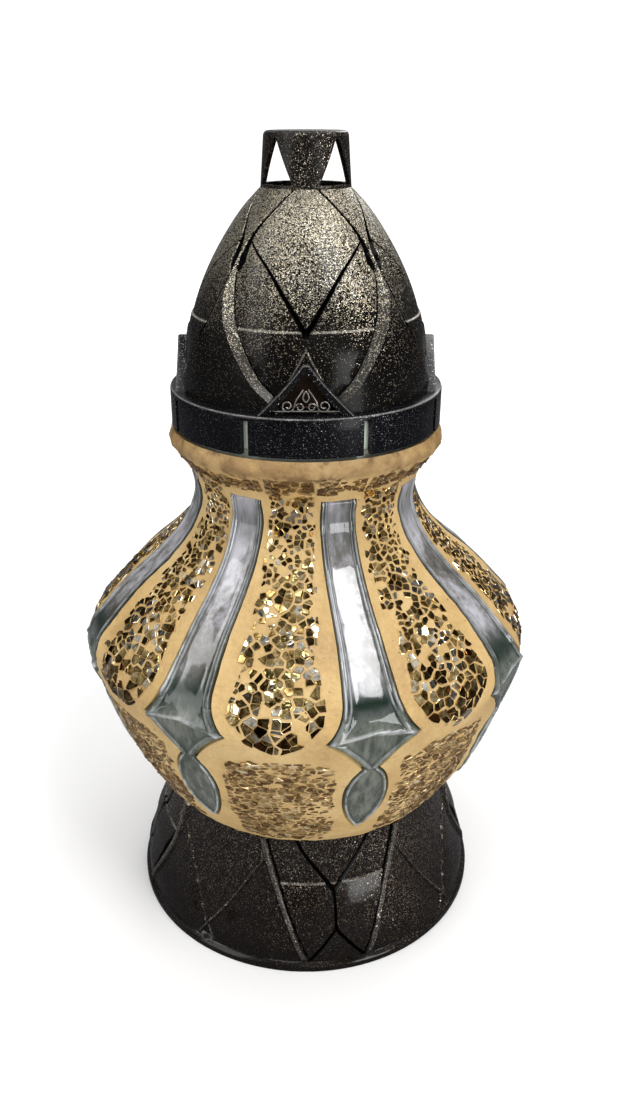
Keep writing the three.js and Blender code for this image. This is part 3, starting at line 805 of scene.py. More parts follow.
def grout_lift(azimuth, s):
    z, r = body.height(s), body.radius(s)
    x = r * np.sin(np.radians(azimuth))
    off_rib = (np.abs(x) - half_width(RIB, z)) * lean(RIB, z)
    off_rib = np.where(half_width(RIB, z) < 0, 9.0, off_rib)
    beside = np.abs(r * np.sin(np.radians(np.abs(azimuth) - RIB_PITCH / 2)))
    lift = np.full(len(z), 0.55)
    for outline in (UPPER_PANEL, LOWER_PANEL):
        w = half_width(outline, z)
        into = (w - beside) * lean(outline, z)
        lift = np.where(w > 0, lift - 0.35 * smoothstep(into, -2.2, -0.6), lift)
    lift += 0.45 * np.exp(-np.clip(off_rib, 0, 9) / 1.3)
    lift -= 0.30 * smoothstep(z, 189.8, 191.0) * (1 - smoothstep(z, 196.0, 197.4))
    return lift + 0.35 * smoothstep(z, 197.4, 200.0) * (1 - smoothstep(z, 202.0, 204.4))


def lump(points):
    fine = [noise.noise(Vector(p) * 0.30) for p in points]
    broad = [noise.noise(Vector(p) * 0.10 + Vector((7, 3, 1))) for p in points]
    hem = 1 + 1.6 * smoothstep(points[:, 2], 196.5, 199.5)
    return (0.26 * np.array(fine) + 0.36 * np.array(broad)) * hem


near_rib = outline_on(body, RIB, 1.0)
points, faces, inner, _ = turned_shell(
    body, MOSAIC_THICKNESS, RIB_COUNT, FIRST_RIB, grout_lift, [near_rib],
    [outline_on(body, RIB, 0.1)], 1.9, lumps=lump)
grout_piece = make("grout_skin", points, faces, grout, "lantern", ["grout_lattice", "grout_collar"],
                   "grout", 50)
grout_piece.data.materials.append(adhesive)
grout_piece.data.polygons.foreach_set(
    "material_index", [1 if all(inner[i] for i in f) else 0 for f in faces])


def clipped(polygon, normal, limit):
    """The part of a polygon where normal . p <= limit."""
    out = []
    for (x0, y0), (x1, y1) in zip(polygon, polygon[1:] + polygon[:1]):
        a = normal[0] * x0 + normal[1] * y0 - limit
        b = normal[0] * x1 + normal[1] * y1 - limit
        if a <= 0:
            out.append((x0, y0))
        if a * b < 0:
            t = a / (a - b)
            out.append((x0 + (x1 - x0) * t, y0 + (y1 - y0) * t))
    return out


SEED_TRIES, SEED_GAP = 6000, 0.62  # the gap is a share of a shard's size
CLUSTER_SHARE = 0.16  # of the seeds that start a cluster
BORDER_GAP = 0.25
SMALLEST_SHARD, LARGE_SHARD, HALVED_SHARE = 0.9, 9, 0.45  # areas, and the share cut in two
HALF_GAP = 0.13  # each side of the cut


def shards(rng, border, size_at, stretch, bare, seam, crack):
    """Broken pieces inside a border polygon: clusters of shards with wider grout between them.

    A share of them is bare. Shards of one cluster lie two seams apart, and clusters two cracks.
    """
    tries = rng.uniform(border.min(0), border.max(0), (SEED_TRIES, 2))
    tries = tries[inside_polygon(tries, border)]
    squash = np.array([1 / stretch, stretch])
    seeds, radii = np.zeros_like(tries), np.zeros(len(tries))
    count = 0
    for p, slack in zip(tries, rng.uniform(0.6, 1.3, len(tries))):
        size = size_at(p[1])
        gap = (seeds[:count] - p) * squash
        if count == 0 or np.hypot(gap[:, 0], gap[:, 1]).min() > SEED_GAP * size * slack:
            seeds[count], radii[count] = p, size
            count += 1
    seeds, radii = seeds[:count], radii[:count]
    centres = np.array([s for s in seeds if rng.random() < CLUSTER_SHARE] or [seeds[0]])
    group = np.argmin(np.linalg.norm(seeds[:, None] - centres[None], axis=-1), axis=1)
    sides = list(zip(border, np.roll(border, -1, 0)))
    middles = np.array([(a + b) / 2 for a, b in sides])
    out = []
    for i, p in enumerate(seeds):
        if rng.random() < bare:
            continue
        reach = radii[i] * 2.2
        cell = [(p[0] - reach, p[1] - reach), (p[0] + reach, p[1] - reach),
                (p[0] + reach, p[1] + reach), (p[0] - reach, p[1] + reach)]
        gap = (seeds - p) * squash
        order = np.argsort(np.hypot(gap[:, 0], gap[:, 1]))[1:15]
        for j in order:
            n = (seeds[j] - p) * squash * squash
            long = np.linalg.norm(n)
            n = n / long
            middle = float(n @ (seeds[j] + p) / 2)
            joint = seam if group[i] == group[j] else crack
            cell = clipped(cell, n, middle - joint)
            if len(cell) < 3:
                break
        for k in np.argsort(np.linalg.norm(middles - p, axis=1))[:5]:
            a, b = sides[k]
            n = np.array([b[1] - a[1], a[0] - b[0]])
            long = np.linalg.norm(n)
            if long < 1e-6 or len(cell) < 3:
                continue
            n = n / long
            cell = clipped(cell, n, float(n @ a) - BORDER_GAP)
        if len(cell) < 3:
            continue
        q = np.array(cell)
        area = abs(sum(q[k, 0] * q[k - 1, 1] - q[k - 1, 0] * q[k, 1] for k in range(len(q)))) / 2
        if area > SMALLEST_SHARD:
            out.append(q)
            if area > LARGE_SHARD and rng.random() < HALVED_SHARE:
                out.pop()
                out += halves(rng, q)
    return out


def halves(rng, polygon):
    """One shard cracked across into two."""
    turn = rng.uniform(0, math.pi)
    n = (math.cos(turn), math.sin(turn))
    c = polygon.mean(0)
    limit = n[0] * c[0] + n[1] * c[1] + rng.uniform(-0.6, 0.6)
    cell = [tuple(p) for p in polygon]
    one = clipped(cell, n, limit - HALF_GAP)
    two = clipped(cell, (-n[0], -n[1]), -limit - HALF_GAP)
    return [np.array(h) for h in (one, two) if len(h) > 2]


SHARD_BEVEL, SHARD_CROWN, SHARD_DEPTH = 0.16, 0.10, 1.1
SHARD_TILT, LOOSE_TILT, LOOSE_SHARE = 3.2, 7.0, 0.22  # degrees, and how many are loose


def shard_mesh(rng, azimuth, cells, tones, proud):
    """Thin bevelled plates laid on the body, each a little tilted and with its own tone."""
    points, faces, tone_of = [], [], []
    for cell in cells:
        c = cell.mean(0)
        spans = cell - c
        s_mid = c[1]
        r_mid = float(body.radius(s_mid))
        a_mid = azimuth + math.degrees(math.asin(max(-1, min(1, c[0] / r_mid))))
        origin = body.place(a_mid, s_mid, 0.0)
        up = body.place(a_mid, s_mid, 1.0) - origin
        east = np.array([math.cos(math.radians(a_mid)), math.sin(math.radians(a_mid)), 0])
        north = np.cross(up, east)
        twist = LOOSE_TILT if rng.random() < LOOSE_SHARE else SHARD_TILT
        up = up + east * math.tan(math.radians(rng.normal(0, twist)))
        up = up + north * math.tan(math.radians(rng.normal(0, twist)))
        up /= np.linalg.norm(up)
        east = east - up * (east @ up)
        east /= np.linalg.norm(east)
        north = np.cross(up, east)
        flat = origin + spans[:, :1] * east + spans[:, 1:] * north
        r = np.hypot(flat[:, 0], flat[:, 1])
        surface = np.interp(flat[:, 2], body.z, body.r)
        slope = float(np.interp(s_mid, body.s, body.normal[:, 0]))
        lowest = ((r - surface) * slope).min()
        top = flat + up * (proud - lowest)
        far = np.linalg.norm(spans, axis=1)[:, None]
        inset = -spans / np.maximum(far, 1e-6) * np.minimum(SHARD_BEVEL, far * 0.4)
        crown = top + inset[:, :1] * east + inset[:, 1:] * north + up * SHARD_CROWN
        first, m = len(points), len(cell)
        points += [*crown, *top, *(top - up * SHARD_DEPTH)]
        ring = [list(range(first + k * m, first + (k + 1) * m)) for k in range(3)]
        made = [ring[0], ring[2][::-1]]
        for upper, lower in ((ring[0], ring[1]), (ring[1], ring[2])):
            made += [[upper[k], lower[k], lower[(k + 1) % m], upper[(k + 1) % m]] for k in range(m)]
        tone = tones(rng, float(body.height(s_mid)), noise.noise(Vector(origin) * 0.075))
        if np.cross(crown[1] - crown[0], crown[2] - crown[1]) @ up < 0:
            made = [f[::-1] for f in made]
        faces += made
        tone_of += [tone] * len(made)
    return np.array(points), faces, tone_of


def border_on_plane(outline):
    """The closed outline as (sideways, length), in order round it."""
    z, w = outline.T
    keep = w > 0.02
    right = np.stack([w[keep], body.length(z[keep])], 1)
    return resampled(np.vstack([right, right[::-1] * np.array([-1, 1])]), 2.5, True)


def wavy(rng, border, most, out):
    """The border pushed out, and then pulled in unevenly by up to most millimetres."""
    along = np.roll(border, -1, 0) - np.roll(border, 1, 0)
    inward = np.stack([-along[:, 1], along[:, 0]], 1)
    inward /= np.linalg.norm(inward, axis=1)[:, None]
    shift = rng.uniform(0, 50)
    pull = [noise.noise(Vector((x * 0.13 + shift, y * 0.13, 0))) for x, y in border]
    return border + inward * (most * np.clip(0.45 + 0.9 * np.array(pull), 0, 1) - out)[:, None]


def upper_tone(rng, z, cluster):
    """Gold of every depth, with clusters of clear shards and brown ones at a panel's foot."""
    tone = rng.choice([0.34, 0.44, 0.5, 0.56, 0.64, 0.74]) + rng.uniform(-0.1, 0.1)
    if rng.random() < (0.75 if cluster > 0.32 else 0.09):
        tone = rng.uniform(0.88, 1.0)
    if z < 124 and rng.random() < 0.5:
        tone = rng.uniform(0.0, 0.28)
    return tone


def lower_tone(rng, z, cluster):
    return min(1.0, max(0.0, rng.normal(0.24 if z > 189 else 0.42, 0.19)))


def upper_size(s):
    """Shards grow from the neck to the belly."""
    return float(np.interp(body.height(s), [114, 128, 145, 165, 188], [7.4, 6.2, 4.5, 3.6, 3.0]))


UPPER_SEED, NECK_SEED = 4100, 5200
NECK_PATCHES, NECK_RADIUS, NECK_HALF_ANGLE = 16, 44.6, 11.1

upper_border, lower_border = border_on_plane(UPPER_PANEL), border_on_plane(LOWER_PANEL)
for k in range(RIB_COUNT):
    at = FIRST_RIB + RIB_PITCH * (k + 0.5)
    rng = np.random.default_rng(UPPER_SEED + k)
    cells = shards(rng, wavy(rng, upper_border, 2.4, 1.4), upper_size, 1.0, 0.08, 0.14, 0.45)
    points, faces, tone = shard_mesh(rng, at, cells, upper_tone, 0.34)
    make(f"shards_upper_{k + 1}", points, faces, mirror_gold, "lantern",
         [f"mirror_upper_{k + 1}"], "mirror_shards", 10, {"tone": ("FACE", tone)})
    cells = shards(rng, wavy(rng, lower_border, 2.2, 1.3), lambda s: 3.5, 1.45, 0.05, 0.13, 0.36)
    points, faces, tone = shard_mesh(rng, at, cells, lower_tone, 0.28)
    make(f"shards_lower_{k + 1}", points, faces, mirror_bronze, "lantern",
         [f"mirror_lower_{k + 1}"], "mirror_shards_lower", 10, {"tone": ("FACE", tone)})

neck_patches, neck_tone = [], []
for k in range(NECK_PATCHES):
    rng = np.random.default_rng(NECK_SEED + k)
    low, high = float(body.length(190.4)), float(body.length(198.6))
    half = NECK_RADIUS * math.radians(NECK_HALF_ANGLE)
    border = resampled([(-half, low), (half, low), (half, high), (-half, high)], 2.0, True)
    ragged = np.stack([border[:, 0], wavy(rng, border, 3.2, 1.0)[:, 1]], 1)
    cells = shards(rng, ragged, lambda s: 4.3, 1.35, 0.05, 0.14, 0.34)
    at = FIRST_RIB + 360 / NECK_PATCHES * k
    points, faces, tone = shard_mesh(rng, at, cells, lower_tone, 0.6)
    neck_patches.append((points, faces))
    neck_tone += tone
make("shards_neck", *joined(neck_patches), mirror_bronze, "lantern", ["mirror_neck_band"],
     "mirror_shards_lower", 10, {"tone": ("FACE", neck_tone)})

# ---- Cap -----------------------------------------------------------------------------------

DOME_WALL, SKIRT_WALL, CROWN_WALL, PEDESTAL_WALL = 2.0, 2.2, 1.3, 2.4

dome = Profile(DOME)
leaf = Arm(dome, [(219.4, 9.5), (223, 12.5), (230, 21.5), (238.5, 29), (247.5, 36), (257, 40.8),
                  (263.5, 43.6), (268, 44.0), (271.5, 42.6), (275, 39.4), (278, 35.2), (281, 30.0),
                  (284, 23.6), (286.4, 16.5)])
vee = Arm(dome, [(244.5, 0), (254.5, 10), (263, 21), (272.0, 40.5)])
lancet = Arm(dome, [(231, 6.4), (236, 2.6), (240, 0)])
LEDGE_AT, LEDGE = 245.4, 0.34


def trough(distance, width):
    """1 in the middle of a groove, falling to 0 at its edges."""
    return np.clip(1 - np.abs(distance) / (width / 2), 0, 1)


def vee_width(z):
    return np.interp(z, [244, 250, 258, 266, 271], [2.4, 2.1, 1.5, 1.0, 0.7])


def arc_width(z):
    return np.interp(z, [261, 265, 270, 273, 278, 286], [0.8, 3.6, 2.8, 1.8, 1.2, 0.9])


def bevel_width(z):
    return np.interp(z, [219, 230, 247, 256, 263], [1.8, 2.3, 3.2, 2.6, 0.7])


ARC_EDGE = 0.3  # the arc's groove lies inside this distance from the leaf's line
FOOT = 0.75     # width of the dark line along the foot of the bevel
FIELD_LIFT, ARC_DEPTH, VEE_DEPTH, FOOT_DEPTH = 2.2, 1.0, 1.1, 0.25
LANCET_LIFT, LANCET_WIDTH, LEDGE_LIFT = 0.55, 1.4, 0.45


def dome_grooves(azimuth, z):
    """The arc over a leaf, the V in it, and the line along the foot of its bevel."""
    out, w = leaf.outside(azimuth, z), arc_width(z)
    arc = trough(out - ARC_EDGE + w / 2, w) * smoothstep(z, 261.5, 263.5)
    cleft = trough(vee.outside(azimuth, z), vee_width(z)) * vee.within(z)
    foot = trough(out + FOOT / 2, FOOT) * (1 - smoothstep(z, 260, 262))
    return arc, cleft, foot


def dome_lift(azimuth, s):
    z = dome.height(s)
    out = leaf.outside(azimuth, z)
    arc, cleft, foot = dome_grooves(azimuth, z)
    raised = FIELD_LIFT * (1 - smoothstep(z, 250, 271.5))
    lift = raised * np.clip(out / bevel_width(z), 0, 1)
    lift = lift - ARC_DEPTH * arc - VEE_DEPTH * cleft - FOOT_DEPTH * foot
    lift += LANCET_LIFT * trough(lancet.outside(azimuth, z), LANCET_WIDTH) * lancet.within(z)
    below = (1 - smoothstep(z, LEDGE_AT - LEDGE, LEDGE_AT)) * (out < -FOOT)
    return lift + LEDGE_LIFT * below


def dome_marks(azimuth, s):
    z = dome.height(s)
    out = leaf.outside(azimuth, z)
    # Painted highlight: a lighter bevel, and bright painted lines along the ledge and the lancet's
    # point.
    bevel = 0.57 * ((out > -0.05) & (out < bevel_width(z) + 0.05) & (z < 262.5))
    ledge = 1.27 * (np.abs(z - LEDGE_AT + LEDGE / 2) < LEDGE * 0.6) * (out < -FOOT)
    point = 1.12 * (np.abs(lancet.outside(azimuth, z)) < 0.1) * lancet.within(z)
    # Painted shade in the bottoms of the arc, the V and the foot line.
    return {"groove": np.max(dome_grooves(azimuth, z), axis=0),
            "pale": np.maximum(np.maximum(bevel, ledge), point)}


def window_outline():
    """A vent window under an arch, as (sideways, height) from the foot up one side."""
    return bezier([(12.1, 219.9), (5.8, 226.2), (1.1, 232.9)], 10)


def petal_hole(profile, points):
    s = profile.length(points[:, 1])
    a = np.degrees(np.arcsin(points[:, 0] / profile.radius(s)))
    right = np.stack([a, s], 1)
    return np.vstack([right, right[::-1] * np.array([-1, 1])])


def ring_line(profile, z):
    s = float(profile.length(z))
    return [(-SECTOR_EDGE, s), (SECTOR_EDGE, s)]


relief_lines = [
    *leaf.lines(-FOOT, -FOOT / 2, 0.0, bevel_width, lambda z: bevel_width(z) + 0.4, high=262),
    *leaf.lines(ARC_EDGE, lambda z: ARC_EDGE - arc_width(z) / 2,
                lambda z: ARC_EDGE - arc_width(z), low=262),
    *vee.lines(lambda z: -vee_width(z) / 2, 0.0, lambda z: vee_width(z) / 2),
    *lancet.lines(-LANCET_WIDTH / 2, 0.0, LANCET_WIDTH / 2)]
for z in (LEDGE_AT + 0.5, LEDGE_AT, LEDGE_AT - LEDGE, LEDGE_AT - LEDGE - 0.5):
    relief_lines.append(ring_line(dome, z))
points, faces, _, marks = turned_shell(dome, DOME_WALL, PETALS, 0, dome_lift, relief_lines,
                                       [petal_hole(dome, window_outline())], 1.7, marks=dome_marks)
make("cap_dome", points, faces, dome_plastic, "cap", ["cap_shell"], "glitter_plastic", 26, marks)

skirt = Profile(SKIRT, smooth=False)
SLOT_AT, SLOT_HALF, SLOT_TOP = 24.2, 1.55, 12.3
slots = [[(at - SLOT_HALF, -1.0), (at + SLOT_HALF, -1.0), (at + SLOT_HALF, SLOT_TOP),
          (at - SLOT_HALF, SLOT_TOP)] for at in (-SLOT_AT, SLOT_AT)]


def skirt_marks(azimuth, s):
    # A bright painted highlight line along the rounded top edge.
    return {"pale": 1.45 * (np.abs(skirt.height(s) - 219.15) < 0.1) * (skirt.radius(s) > 49.5)}


points, faces, _, marks = turned_shell(
    skirt, SKIRT_WALL, PETALS, 0, holes=slots, spacing=3.2, marks=skirt_marks)
make("cap_skirt", points, faces, skirt_plastic, "cap", ["cap_shell"], "glitter_plastic", 26, marks)

crown = Profile(CROWN, smooth=False)
apex, foot = float(crown.length(301.7)), float(crown.length(287.9))
window = [(-28.5, foot), (28.5, foot), (3.4, apex), (1.8, apex + 0.6), (-1.8, apex + 0.6),
          (-3.4, apex)]


def crown_marks(azimuth, s):
    """The top plate is painted darker, with fewer flakes and less gloss, as painted shade."""
    return {"groove": 0.26 * (crown.height(s) > 304.3)}


points, faces, _, marks = turned_shell(
    crown, CROWN_WALL, PETALS, PETAL_PITCH / 2, holes=[window], spacing=1.6, marks=crown_marks)
make("cap_crown", points, faces, crown_plastic, "cap", ["cap_shell"], "glitter_plastic", 30, marks)


def facing(azimuth, x, depth, z):
    """A point x sideways and depth outwards on the side of the lantern at an azimuth."""
    a = math.radians(azimuth)
    return (x * math.cos(a) + depth * math.sin(a), x * math.sin(a) - depth * math.cos(a), z)


def arch_sections():
    """Matching outer and inner points up one side of the arch and down the other."""
    outer = bezier([(16.2, 219.2), (5.4, 229.6), (0.9, 236.2)], 18)
    inner = bezier([(12.0, 219.2), (5.6, 225.6), (1.1, 232.2)], 18)
    right = list(zip(outer, inner))
    left = [(o * (-1, 1), i * (-1, 1)) for o, i in reversed(right)]
    return [*right, *left]


# Across an arch: share of the way from its outer to its inner line, and depth from the axis.
ARCH_SECTION = [(0.0, 40.2), (0.0, 45.9), (0.04, 46.4), (0.15, 46.4), (0.22, 45.6), (0.7, 45.5),
                (0.86, 45.4), (0.95, 45.4), (1.0, 45.2), (1.0, 40.6)]
# Painted highlight across the arch: a lighter outer side and a bright painted line along its front
# edge.
ARCH_HIGHLIGHT = [0, 0.5, 1.08, 1.08, 0, 0, 0, 0, 0, 0]

for k in range(PETALS):
    rings = []
    for outer, inner in arch_sections():
        across = [(outer + (inner - outer) * t, depth) for t, depth in ARCH_SECTION]
        rings.append(np.array([facing(PETAL_PITCH * k, x, depth, z) for (x, z), depth in across]))
    make(f"arch_{k + 1}", *lofted(rings), arch_plastic, "cap", ["cap_shell"], "glitter_plastic",
         30, {"pale": ("POINT", np.tile(ARCH_HIGHLIGHT, len(rings)))})


def spiral(x, z, start, turns, outer, inner, way):
    t = np.linspace(0, 1, 26)
    a = math.radians(start) + way * t * turns * 2 * math.pi
    r = outer + (inner - outer) * t
    return np.stack([x + r * np.cos(a), z + r * np.sin(a)], 1)


def tube(at, path, radius, depth, sides=8):
    """A round bead along a flat path, on the side of the lantern at an azimuth."""
    along = np.gradient(path, axis=0)
    along /= np.linalg.norm(along, axis=1)[:, None]
    rings = []
    for k, (p, t) in enumerate(zip(path, along)):
        r = radius * (0.55 if k in (0, len(path) - 1) else 1.0)
        ring = []
        for j in range(sides):
            a = 2 * math.pi * j / sides
            across = np.array([-t[1], t[0]]) * math.cos(a) * r
            ring.append(facing(at, p[0] + across[0], depth + math.sin(a) * r, p[1] + across[1]))
        rings.append(np.array(ring))
    return lofted(rings)


def scroll_paths():
    """Two mirrored scrolls under a drop, drawn as flat curves."""
    curl = spiral(6.0, 222.3, 200, 1.35, 2.2, 0.6, 1)
    stem = curve_through([(3.9, 221.7), (3.4, 223.8), (2.3, 225.6), (0.8, 227.8)], 6)
    small = spiral(2.0, 221.8, 20, 1.0, 1.4, 0.7, 1)
    foot_rail = np.array([(x, 220.5) for x in np.linspace(-11.0, 11.0, 12)])
    drop = curve_through([(0, 223.4), (1.0, 224.8), (0.0, 227.2), (-1.0, 224.8), (0, 223.4)], 6)
    paths = [foot_rail, drop]
    for line in (curl, stem, small):
        paths += [line, line * np.array([-1, 1])]
    return paths


SCROLL_BEAD, SCROLL_DEPTH = 0.28, 44.9

for k in range(PETALS):
    beads = joined(tube(PETAL_PITCH * k, path, SCROLL_BEAD, SCROLL_DEPTH)
                   for path in scroll_paths())
    make(f"scroll_{k + 1}", *beads, scroll_plastic, "cap", [f"vent_scroll_{k + 1}"],
         "vent_openwork", 60)

SHEET = np.array([0.6, 0.15])  # from the shield's outer face to its inner one
shield_out = curve_through([(38.6, 221.0), (38.0, 233.0), (34.8, 249.0), (28.8, 263.0),
                            (15.0, 280.5)], 8)
shield = lathe([(38.0, 220.4), (40.8, 220.4), (41.0, 220.7), (40.8, 221.0),
                *map(tuple, shield_out), *map(tuple, (shield_out - SHEET)[::-1])])
make("heat_shield_sheet", *shield, shield_metal, "cap", ["heat_shield"], "shield_metal")

# ---- Pedestal ------------------------------------------------------------------------------

pedestal = Profile(PEDESTAL, smooth=False)
PEDESTAL_TURN = 10.0
blade = Arm(pedestal, [(3.9, 9.2), (20.5, 15.2), (36.8, 20.5), (49.5, 24), (54.0, 25)])
sweep = Arm(pedestal, [(3.9, 48.6), (26.7, 35.5), (38, 29.5), (47.5, 23.4)])
notch = Arm(pedestal, [(32.0, 0.0), (41.0, 6.2), (50.0, 11.8), (54.0, 13.6)])
tent = Arm(pedestal, [(4.2, 8.8), (10.0, 4.8), (16.6, 0.0)])
STEP_AT = 35.2
PLATE = ([4, 8, 24.5, 29.5, STEP_AT - 0.3, STEP_AT], [0.6, 0.6, 2.3, 1.9, 0.6, 0.0])
NEIGHBOURS = (-PETAL_PITCH, 0, PETAL_PITCH)  # a petal's relief runs over into the next sectors
BLADE_REACH, PLATE_REACH, CLEFT_REACH = 60, 45, 30  # degrees from the petal's middle
BLADE_LIFT, SWEEP_LIFT, HOLLOW_DEPTH = 1.3, 0.8, 0.9
CLEFT_DEPTH, LEG_DEPTH, MIDDLE_DEPTH, LEG_WIDTH, MIDDLE_WIDTH = 1.0, 1.0, 0.8, 1.6, 1.2


def notch_width(z):
    return np.interp(z, [32, 50], [2.3, 1.7])


def pedestal_grooves(a, z, r):
    """The V, the tent under it and the line between them, round one petal's middle."""
    here = np.abs(a) < CLEFT_REACH
    cleft = trough(notch.outside(a, z), notch_width(z)) * notch.within(z) * here
    legs = trough(tent.outside(a, z), LEG_WIDTH) * tent.within(z) * here
    middle = trough(np.abs(a) * r * math.pi / 180, MIDDLE_WIDTH)
    return cleft, legs, middle * smoothstep(z, 15.6, 17.0) * (1 - smoothstep(z, 31, 33))


def above_hem(z):
    """The relief starts above the plain hem at the foot."""
    return smoothstep(z, 3.4, 4.6)


def pedestal_lift(azimuth, s):
    z, r = pedestal.height(s), pedestal.radius(s)
    total = np.zeros(len(z))
    for shift in NEIGHBOURS:
        a = azimuth + shift
        edge = blade.outside(a, z)
        ramp = np.clip((edge + 0.5) / 0.9, 0, 1) * np.clip((3.0 - edge) / 1.0, 0, 1)
        total += BLADE_LIFT * ramp * blade.within(z) * (np.abs(a) < BLADE_REACH)
        curl = sweep.outside(a, z)
        total += SWEEP_LIFT * np.clip(1 - np.abs(curl) / 0.8, 0, 1) * sweep.within(z)
        hollow = smoothstep(curl, -8.0, -0.8) * (curl < 0)
        total -= HOLLOW_DEPTH * hollow * sweep.within(z, 0.5) * (edge > 3.0)
        cleft, legs, middle = pedestal_grooves(a, z, r)
        total -= CLEFT_DEPTH * cleft + LEG_DEPTH * legs + MIDDLE_DEPTH * middle
        total += np.interp(z, *PLATE) * (edge < -0.5) * (np.abs(a) < PLATE_REACH)
    return total * above_hem(z)


def pedestal_marks(azimuth, s):
    z, r = pedestal.height(s), pedestal.radius(s)
    groove, pale = np.zeros(len(z)), np.zeros(len(z))
    for shift in NEIGHBOURS:
        a = azimuth + shift
        # Painted shade in the bottoms of the V, the tent and the middle line.
        groove = np.maximum(groove, np.max(pedestal_grooves(a, z, r), axis=0))
        edge, curl = blade.outside(a, z), sweep.outside(a, z)
        on_blade = blade.within(z) * (np.abs(a) < BLADE_REACH)
        # Painted highlight: a lighter crest on each blade, and bright painted lines along its edge,
        # the step and the sweep.
        crest = (edge > 0.35) * (edge < 2.05) * on_blade
        # Painted shade along the foot of the blade.
        groove = np.maximum(groove, (np.abs(edge + 0.5) < 0.05) * on_blade)
        step = (np.abs(z - STEP_AT + 0.15) < 0.2) * (edge < -0.5) * (np.abs(a) < PLATE_REACH)
        crest_line = 1.35 * (np.abs(edge - 0.4) < 0.05) * on_blade * (z > 17)
        pale = np.maximum(pale, np.maximum(np.maximum(0.66 * crest, crest_line), 1.4 * step))
        pale = np.maximum(pale, 0.9 * (np.abs(curl) < 0.05) * sweep.within(z))
    return {"groove": groove, "pale": pale * above_hem(z) * (groove < 0.3)}


lines = []
for shift in NEIGHBOURS:
    for line in (*blade.lines(-1.1, -0.5, 0.0, 0.4, 2.0, 3.0), *sweep.lines(-0.8, 0.0, 0.8),
                 *notch.lines(lambda z: -notch_width(z) / 2, 0.0, lambda z: notch_width(z) / 2),
                 *tent.lines(-0.8, 0.0, 0.8)):
        lines.append(line + np.array([shift, 0]))
low_s, high_s = (float(pedestal.length(z)) for z in (16.6, 32.0))
for x in (-0.55, 0.0, 0.55):
    lines.append([(x, low_s), (x, high_s)])
for z in (STEP_AT + 0.5, STEP_AT, STEP_AT - 0.3, STEP_AT - 0.8, 29.5, 24.5):
    lines.append(ring_line(pedestal, z))
points, faces, _, marks = turned_shell(
    pedestal, PEDESTAL_WALL, PETALS, PEDESTAL_TURN, pedestal_lift, lines, spacing=1.9,
    marks=pedestal_marks)
make("pedestal_wall", points, faces, pedestal_plastic, "lantern", ["base_pedestal"],
     "glitter_plastic", 26, marks)
seat = lathe([(57.6, 53.6), (57.2, 51.2), (54.4, 48.6), (49.6, 44.6), (48.4, 43.0), (48.4, 41.1),
              (24.0, 41.1), (24.0, 38.8), (50.0, 38.8), (57.4, 46.4), (58.6, 50.0)])
make("pedestal_seat", *seat, pedestal_plastic, "lantern", ["base_pedestal"], "glitter_plastic")

# ---- Candle insert -------------------------------------------------------------------------

cup = lathe([(0, 45.4), (27.4, 45.4), (28.1, 46.0), (29.2, 60), (30.0, 164.6), (30.7, 164.8),
             (30.8, 165.3), (30.6, 166.0), (29.0, 166.0), (28.8, 165.4), (27.9, 60), (26.8, 47.0),
             (0, 47.0)])
make("candle_cup_shell", *cup, cup_plastic, "candle", ["candle_cup"], "cup_plastic")


def wax_wobble(r, a, z):
    """The wax set a little unevenly round the wick."""
    return 0.25 * math.sin(3 * a + r * 0.3) if z > 140 and r > 2 else 0


wax_body = lathe([(10.6, 47.3), (26.4, 47.3), (27.5, 60), (28.0, 146.4), (27.9, 147.6),
                  (27.2, 147.7), (24.0, 147.1), (15.0, 146.8), (6.0, 146.5), (3.0, 146.7),
                  (1.7, 147.2), (1.7, 49.2), (10.6, 49.2)], wobble=wax_wobble)
make("candle_wax_body", *wax_body, wax, "candle", ["candle_wax"], "wax")

WICK_RINGS, WICK_TWIST, STRAND = 110, 1.6, 0.12


def wick_ring(z, tip):
    """A three-stranded cord's section, which leans over above the wax."""
    x = 0.25 * math.sin(z * 0.22) * max(0.0, (z - 146) / 12)
    ring = []
    for a in np.linspace(0, 2 * math.pi, 12, endpoint=False):
        r = 1.0 + STRAND * math.cos(3 * (a - z * WICK_TWIST))
        ring.append((x + r * math.cos(a) * (0.6 if tip else 1), r * math.sin(a), z))
    return np.array(ring)


wick = lofted([wick_ring(z, n == WICK_RINGS - 1)
               for n, z in enumerate(np.linspace(49.3, 158.0, WICK_RINGS))])
make("candle_wick", *wick, cotton, "candle", ["wick"], "cotton", 60)
wick_foot = lathe([(0, 47.3), (10.2, 47.3), (10.3, 47.6), (10.2, 47.9), (3.0, 48.0), (2.3, 48.9),
                   (0, 48.9)], 48)
make("wick_foot_disc", *wick_foot, tin, "candle", ["wick_foot"], "tin_plate")

# ---- Floor, light and camera ---------------------------------------------------------------

def floor_material():
    """Pale paper, as bright far away as round the lantern, that gloss reflects as a dim table."""
    m = Nodes("floor_paper")
    grain = m.noise(3, 4, 0.6)
    far = m.add("ShaderNodeVectorMath", {0: m.place}, operation="LENGTH").outputs["Value"]
    path = m.add("ShaderNodeLightPath").outputs
    paper = m.mix(grain, (0.86, 0.86, 0.86), (0.88, 0.88, 0.88))
    seen = m.times(path["Is Camera Ray"], m.spread(far, 0.25, 1.6, 0.0, 0.85))
    m.surface(Base_Color=m.mix(path["Is Glossy Ray"], paper, (0.10, 0.10, 0.11)), Roughness=0.85,
              Emission_Color=(1.0, 1.0, 1.0), Emission_Strength=seen)
    return m.material


